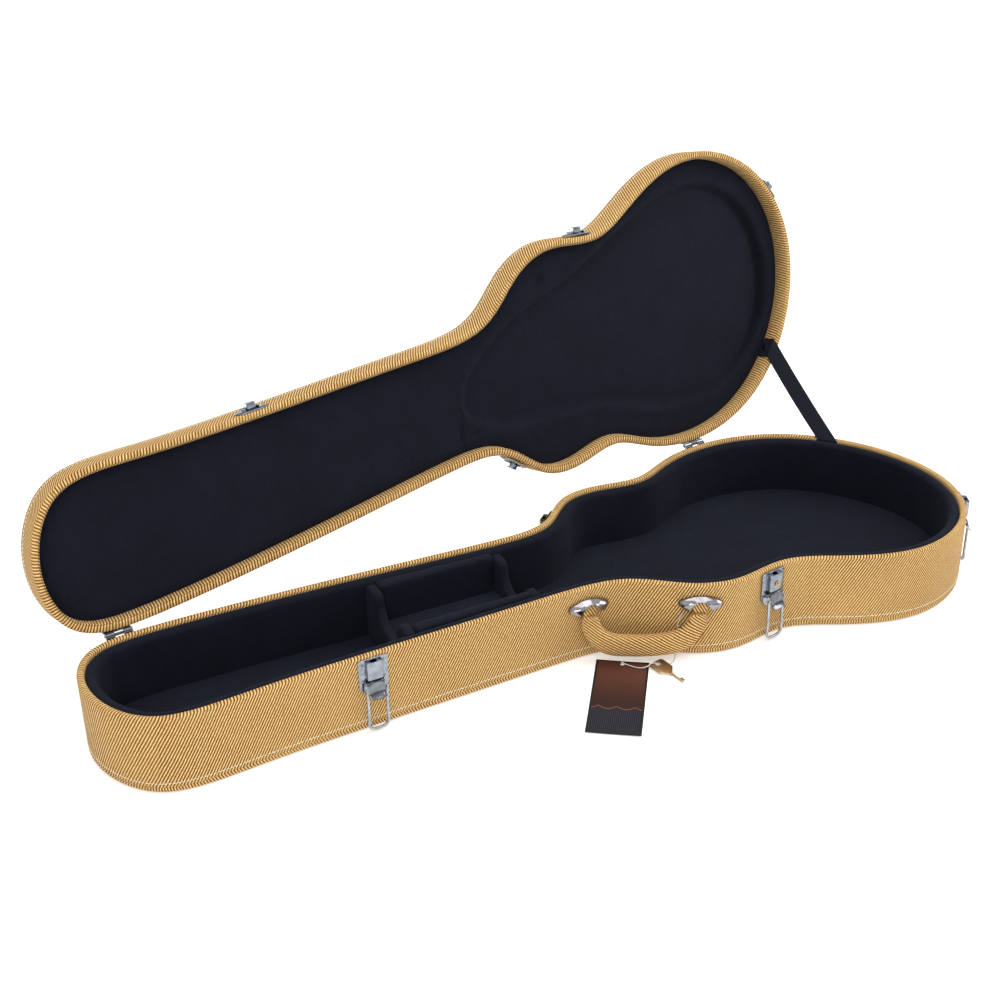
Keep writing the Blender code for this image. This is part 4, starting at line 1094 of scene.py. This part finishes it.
def build_cap(label, station):
    """A boat-shaped bridge: it comes down to the wall at its tips and along its top, and its
    lower edge is arched for the handle's end to pass."""
    tip, arch_tall, arch_half = 0.0012, 1.52, 0.50
    front, back = [], []
    for s in np.linspace(-1.0, 1.0, 49):
        bow = max(1 - s * s, 0.0) ** 0.5
        half = tip + (CAP_HALF_WIDTH - tip) * (1 - s * s) ** 0.8
        low = arch_tall * max(0.0, 1 - (s / arch_half) ** 2) ** 0.5 - 1.0
        near = []
        for a in np.linspace(low, 1.0, 17):
            crown = 1 - 0.22 * a * a if a < 0 else 1 - 0.93 * a**2.6
            ridge = 0.0009 * bell(a, max(0.30, low + 0.12), 0.13) * bow
            height = CAP_SHEET + (CAP_RISE - CAP_SHEET) * bow * crown + ridge
            near.append((s * CAP_HALF_LENGTH, a * half, height))
        front.append(near)
        back.append([(x, y, z - CAP_SHEET) for x, y, z in near])
    plane = shifted(station, y=CAP_HEIGHT, z=stand_off(station, CAP_HALF_LENGTH))
    shape = Shape().shell(front, back, bevel=0.00035, sharp=55)
    for side in (-1, 1):
        tilt = Matrix.Rotation(side * 0.75, 4, "Y")
        shape.dome(0.0017, 0.0009, Matrix.Translation((side * 0.0212, 0.0, 0.0046)) @ tilt)
    shape.finish(f"handle_{label}_cap_formed", plane, CHROME, "base", "nickel",
                 f"handle_{label}_cap")
    return plane


def build_loop(label, plane):
    """The cloth-covered end of the handle, looped under its cap. It starts just above the grip."""
    clear = 0.0041
    drop = HANDLE_PIVOT[0] + clear - CAP_HEIGHT
    drawing = [(drop, 0.0020), (-0.004, 0.0020), (0.0020, 0.0022), (0.0044, 0.0034),
               (0.0020, 0.0046), (-0.004, 0.0048), (drop, 0.0048)]
    places = [plane @ Vector((0.0, y, z)) for y, z in drawing]
    across = plane.to_3x3() @ Vector((1.0, 0.0, 0.0))
    name = f"handle_{label}_loop_cloth"
    mesh = strip(name, places, 22, across, 0.016, 0.0014)
    piece(name, mesh, TWEED, "base", "tweed", f"handle_{label}_loop")


def build_grip():
    """The grip, swept from one leg to the other. Each station is its place along the chord, its
    height, half its width, half its depth and how far out it stands, in millimetres."""
    stations = [
        (3.5, 60, 7.4, 1.4, 7.4), (3.5, 58, 9.2, 2.6, 7.2), (3.5, 54, 10.5, 3.5, 7.0),
        (4.5, 48, 11.0, 4.3, 7.6), (8, 40, 11.5, 6.0, 9.0), (16, 31, 12.5, 7.5, 10.5),
        (28, 25, 13.0, 8.0, 11.0), (46, 23, 13.0, 8.0, 11.0), (64, 22.5, 13.0, 8.0, 11.0),
        (82, 23.5, 13.0, 8.0, 11.0), (99, 26.5, 13.0, 8.0, 11.0), (111, 32.5, 12.5, 7.2, 10.2),
        (119, 41, 11.5, 5.6, 8.8), (123, 48, 11.0, 4.3, 7.6), (124, 54, 10.5, 3.5, 7.0),
        (124.5, 58, 9.2, 2.6, 7.2), (124.5, 60, 7.4, 1.4, 7.4),
    ]
    fine, sides, squareness = 84, 28, 0.72
    centre = smooth_route([(u, z, w) for u, z, _, _, w in stations], fine)
    sizes = smooth_route([(a, b, 0.0) for _, _, a, b, _ in stations], fine)
    plane = shifted(handle_plane(), y=HANDLE_PIVOT[0], z=HANDLE_PIVOT[1])

    def from_pivot(u, z, w):
        """A place in metres from the handle's pivot, of one in millimetres on the wall."""
        return Vector((u / 1000, z / 1000 - HANDLE_PIVOT[0], w / 1000 - HANDLE_PIVOT[1]))

    corners, frames = [], []
    for i, (middle, size) in enumerate(zip(centre, sizes)):
        ahead = heading(centre, i).xy.normalized()
        across = Vector((-ahead.y, ahead.x))
        frames.append((middle.xy / 1000, across))
        for angle in np.radians(np.arange(sides) * 360 / sides):
            x, y = (math.copysign(abs(c) ** squareness, c)
                    for c in (math.cos(angle), math.sin(angle)))
            place = middle.xy + across * x * size.x
            corners.append(plane @ from_pivot(*place, middle.z + y * size.y))
    section = corners[fine // 2 * sides:(fine // 2 + 1) * sides]
    walked = np.cumsum([0.0] + [(b - a).length for a, b in zip(section, section[1:] + section[:1])])

    def cloth(i, k, behind):
        """The cloth's place at a corner: laid flat from the middle of the grip's front."""
        where, across = frames[i]
        flat = where + across * (walked[sides // 4] - walked[k] + (walked[-1] if behind else 0.0))
        return -flat.y, flat.x

    faces, spots = sleeve(fine, sides, flip=True)
    places = [[cloth(i, k, face[0][1] >= sides * 3 // 4) for i, k in face] for face in spots]
    mesh = woven("handle_grip_cover", corners, faces, places)
    piece("handle_grip_cover", mesh, TWEED, "handle", "tweed", "handle_grip", angle=50)
    shape = Shape()
    row = list(zip(centre, sizes))[6:-6]
    for (a, size), (b, _) in zip(row, row[1:]):
        ahead = (b - a).xy.normalized()
        beside = Vector((ahead.y * size.x * 0.86, -ahead.x * size.x * 0.86, size.y * 0.66))
        dash = [from_pivot(*(a.lerp(b, t) + beside + UP * up))
                for t, up in ((0.14, 0.15), (0.32, 0.48), (0.68, 0.48), (0.86, 0.15))]
        shape.tube(dash, 0.0004, 6)
    shape.finish("handle_grip_stitching", plane, TAN_THREAD, "handle", "tweed", angle=60)


def build_handle():
    for label, place in HANDLE_PLACES.items():
        build_loop(label, build_cap(label, wall_station(place)))
    build_grip()


# ---- stay strap -----------------------------------------------------------------------------
def build_strap():
    """A webbing stay in three lengths: one behind the base's lining, one across the opening,
    and one on the lid."""
    station = wall_station(STRAP_PLACE)
    base_at = -WALL - 0.0017
    lid_at = LID_OVERHANG - WALL - 0.0032
    sagging, behind = 0.0022, 0.012
    base_crease = station @ Vector((0.0, BASE_HEIGHT - 0.001, base_at))
    lid_crease = station @ Vector((0.0, RIM + 0.0015, lid_at))
    far = OPEN_LID @ lid_crease
    lid_turn = OPEN_LID.to_3x3()
    along, _, base_out = station.to_3x3().col
    span = (far - base_crease).normalized()
    width = STRAP_WIDTH / math.sqrt(1 - along.dot(span) ** 2)

    def length(name, stations, body, *replaced):
        mesh = ribbon(name, stations, width, STRAP_THICKNESS)
        return piece(name, mesh, WEBBING, body, "webbing", *replaced)

    inner = [(base_crease - UP * d, along, base_out) for d in (0.036, 0.024, 0.012, 0.0)]
    length("stay_strap_base_end", inner, "base")
    between = []
    for t in np.linspace(0, 1, 25):
        edge = along.lerp(lid_turn @ along, t)
        face = edge.cross(span)
        face = -face if face.dot(base_out) < 0 else face
        sag = UP * (-sagging * math.sin(math.pi * t))
        between.append((base_crease.lerp(far, t) + sag, edge, face))
    strap = length("stay_strap_span", between, "base", "stay_strap")
    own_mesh(strap)
    outer = [(OPEN_LID @ (lid_crease + UP * d), lid_turn @ along, lid_turn @ base_out)
             for d in (0.0, 0.006, 0.012, 0.0175)]
    length("stay_strap_lid_end", outer, "lid")
    depth = STRAP_THICKNESS / 2 + GAP
    flip = Matrix.Rotation(math.pi, 4, "Y")
    for label, height, at, matrix in (("base", BASE_HEIGHT - 0.032, base_at, UPRIGHT),
                                      ("lid", BASE_HEIGHT + 0.0135, lid_at, OPEN_LID)):
        place = matrix @ shifted(station, y=height, z=at - depth) @ flip
        Shape().dome(0.0040, 0.0013).finish(
            f"strap_rivet_{label}_head", place, DARK_METAL_AND_HOLE_SHADE, label, "nickel", f"strap_rivet_{label}")


# ---- tag, key and string --------------------------------------------------------------------
def build_tag():
    """A printed card, cupped a little and curled up at its lower end, with a punched hole."""
    width, length, thick = TAG_SIZE
    curl, flat_to, cup, low, high = 0.0010, 0.025, 0.0004, 0.0001, thick * 0.75
    place = Matrix.Translation((*TAG_MIDDLE, 0.0)) @ Matrix.Rotation(TAG_TURN, 4, "Z")
    front = [[(x, y, high + curl * max(0.0, (-y - flat_to) / (length / 2 - flat_to)) ** 2
               + cup * (x / (width / 2)) ** 2)
              for x in np.linspace(-width / 2, width / 2, 21)]
             for y in np.linspace(-length / 2, length / 2, 47)]
    back = [[(x, y, z - high + low) for x, y, z in row] for row in front]
    mesh = punched(Shape().shell(front, back).mesh("hang_tag_card"), TAG_HOLE, 0.0024)
    layer = mesh.uv_layers.new(name="cloth")
    for loop in mesh.loops:
        layer.data[loop.index].uv = mesh.vertices[loop.vertex_index].co.xy
    mesh.transform(place)
    piece("hang_tag_card", mesh, CARD, "base", "tag_card", "hang_tag")
    return place @ Vector((0.0, TAG_HOLE, 0.0))


def build_key():
    """A flat luggage key: a square bow with a raised edge and a hole, a barrel and its bit."""
    thick, middle = KEY_THICKNESS, (0.0, KEY_THICKNESS / 2)
    place = Matrix.Translation(KEY_PLACE) @ Matrix.Rotation(KEY_TURN, 4, "Z")
    place = place @ Matrix.Rotation(KEY_LEAN, 4, "X")
    outline = symmetric([(0.0080, 0.0115), (0.0105, 0.0090), (0.0105, -0.0070),
                         (0.0045, -0.0130), (0.0022, -0.0160)])
    bow = Shape().prism(outline, 0.0002, thick - 0.0002, bevel=0.0005, segments=3)
    shape = Shape()
    shape.whole.from_mesh(punched(bow.mesh("key_blank"), KEY_HOLE, 0.0032))
    lip = arc((0.0, KEY_HOLE), 0.0036, 0, 360, 25)
    shape.tube([(x, y, thick - 0.0003) for x, y in lip], 0.0004, 8)
    shape.prism(ring(middle, 0.0014, 16), -0.0345, -0.0130, "y", bevel=0.0003)
    shape.prism(ring(middle, 0.0019, 16), -0.0180, -0.0150, "y", bevel=0.0003)
    bit = [(0.0, -0.0335), (0.0048, -0.0335), (0.0048, -0.0320), (0.0040, -0.0318),
           (0.0040, -0.0300), (0.0048, -0.0298), (0.0048, -0.0280), (0.0, -0.0280)]
    shape.prism(bit, 0.0004, 0.0014, bevel=0.00015)
    key = shape.finish("luggage_key", place, BRASS, "base", "brass", "key")
    return key, place @ Vector((0.0, KEY_HOLE, 0.0))


def string_route(key_hole, tag_hole):
    """From the handle's right leg down to the floor, up through the key and down into the tag.
    Along the wall a place is (along the handle's chord, height, outward)."""
    floor = STRING / 2 + GAP
    on_wall = [
        (0.1080, 0.0600, 0.0012), (0.1052, 0.0520, -0.0006), (0.1030, 0.0440, -0.0014),
        (0.1020, 0.0350, -0.0015), (0.1020, 0.0260, -0.0012), (0.1022, 0.0180, -0.0003),
        (0.1020, 0.0110, 0.0014), (0.1012, 0.0058, 0.0042), (0.0992, 0.0026, 0.0080),
    ]
    plane = handle_plane()
    route = [plane @ Vector(p) for p in on_wall]
    route += [Vector((0.0776, -0.0912, 0.0012)), Vector((0.0730, -0.0926, floor))]
    key_hole = Vector((key_hole.x, key_hole.y, 0.0))
    tag_hole = Vector((tag_hole.x, tag_hole.y, 0.0))
    into_key = key_hole - route[-1]
    into_key.z = 0.0
    into_key.normalize()
    through = [(-0.0115, floor), (-0.0085, 0.0010), (-0.0052, 0.0011), (-0.0019, 0.0026),
               (0.0012, 0.0047), (0.0045, 0.0058), (0.0085, 0.0059)]
    route += [key_hole + into_key * along + UP * up for along, up in through]
    route += [Vector(p) for p in ((0.0448, -0.0862, 0.0049), (0.0392, -0.0838, 0.0034),
                                  (0.0350, -0.0780, 0.0023), (0.0320, -0.0712, 0.0019))]
    from_tag = route[-1] - tag_hole
    from_tag.z = 0.0
    from_tag.normalize()
    onto_tag = [(0.0045, 0.0020), (0.0012, 0.0022), (-0.0012, 0.0022)]
    route += [tag_hole + from_tag * along + UP * up for along, up in onto_tag]
    return smooth_route(route, STRING_POINTS)


def build_string(key_hole, tag_hole):
    """The string from the handle through the key to a knot at the tag's hole."""
    route = string_route(key_hole, tag_hole)
    line = bpy.data.curves.new("tag_string_line", "CURVE")
    line.dimensions = "3D"
    line.bevel_depth = STRING / 2
    line.bevel_resolution = 4
    line.use_fill_caps = True
    spline = line.splines.new("POLY")
    spline.points.add(len(route) - 1)
    for point, place in zip(spline.points, route):
        point.co = (*place, 1.0)
    line.materials.append(STRING_WHITE)
    string = put("tag_string_line", line)
    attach(string, "base")
    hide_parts("tag_string")
    turns = [tag_hole + Vector((0.0013 * math.cos(a), 0.0013 * math.sin(a), 0.0010 + 0.0002 * a))
             for a in np.linspace(0, 3.2 * math.pi, 36)]
    knot = Shape().tube(turns, 0.00055, 8)
    knot = knot.finish("tag_string_knot", UPRIGHT, STRING_WHITE, "base", "string")


# ---- the scene ------------------------------------------------------------------------------
build_camera()
build_studio()
tag_hole = build_tag()
key, key_hole = build_key()
build_string(key_hole, tag_hole)
build_shells()
build_linings()
build_latches()
build_hinges()
build_handle()
build_strap()
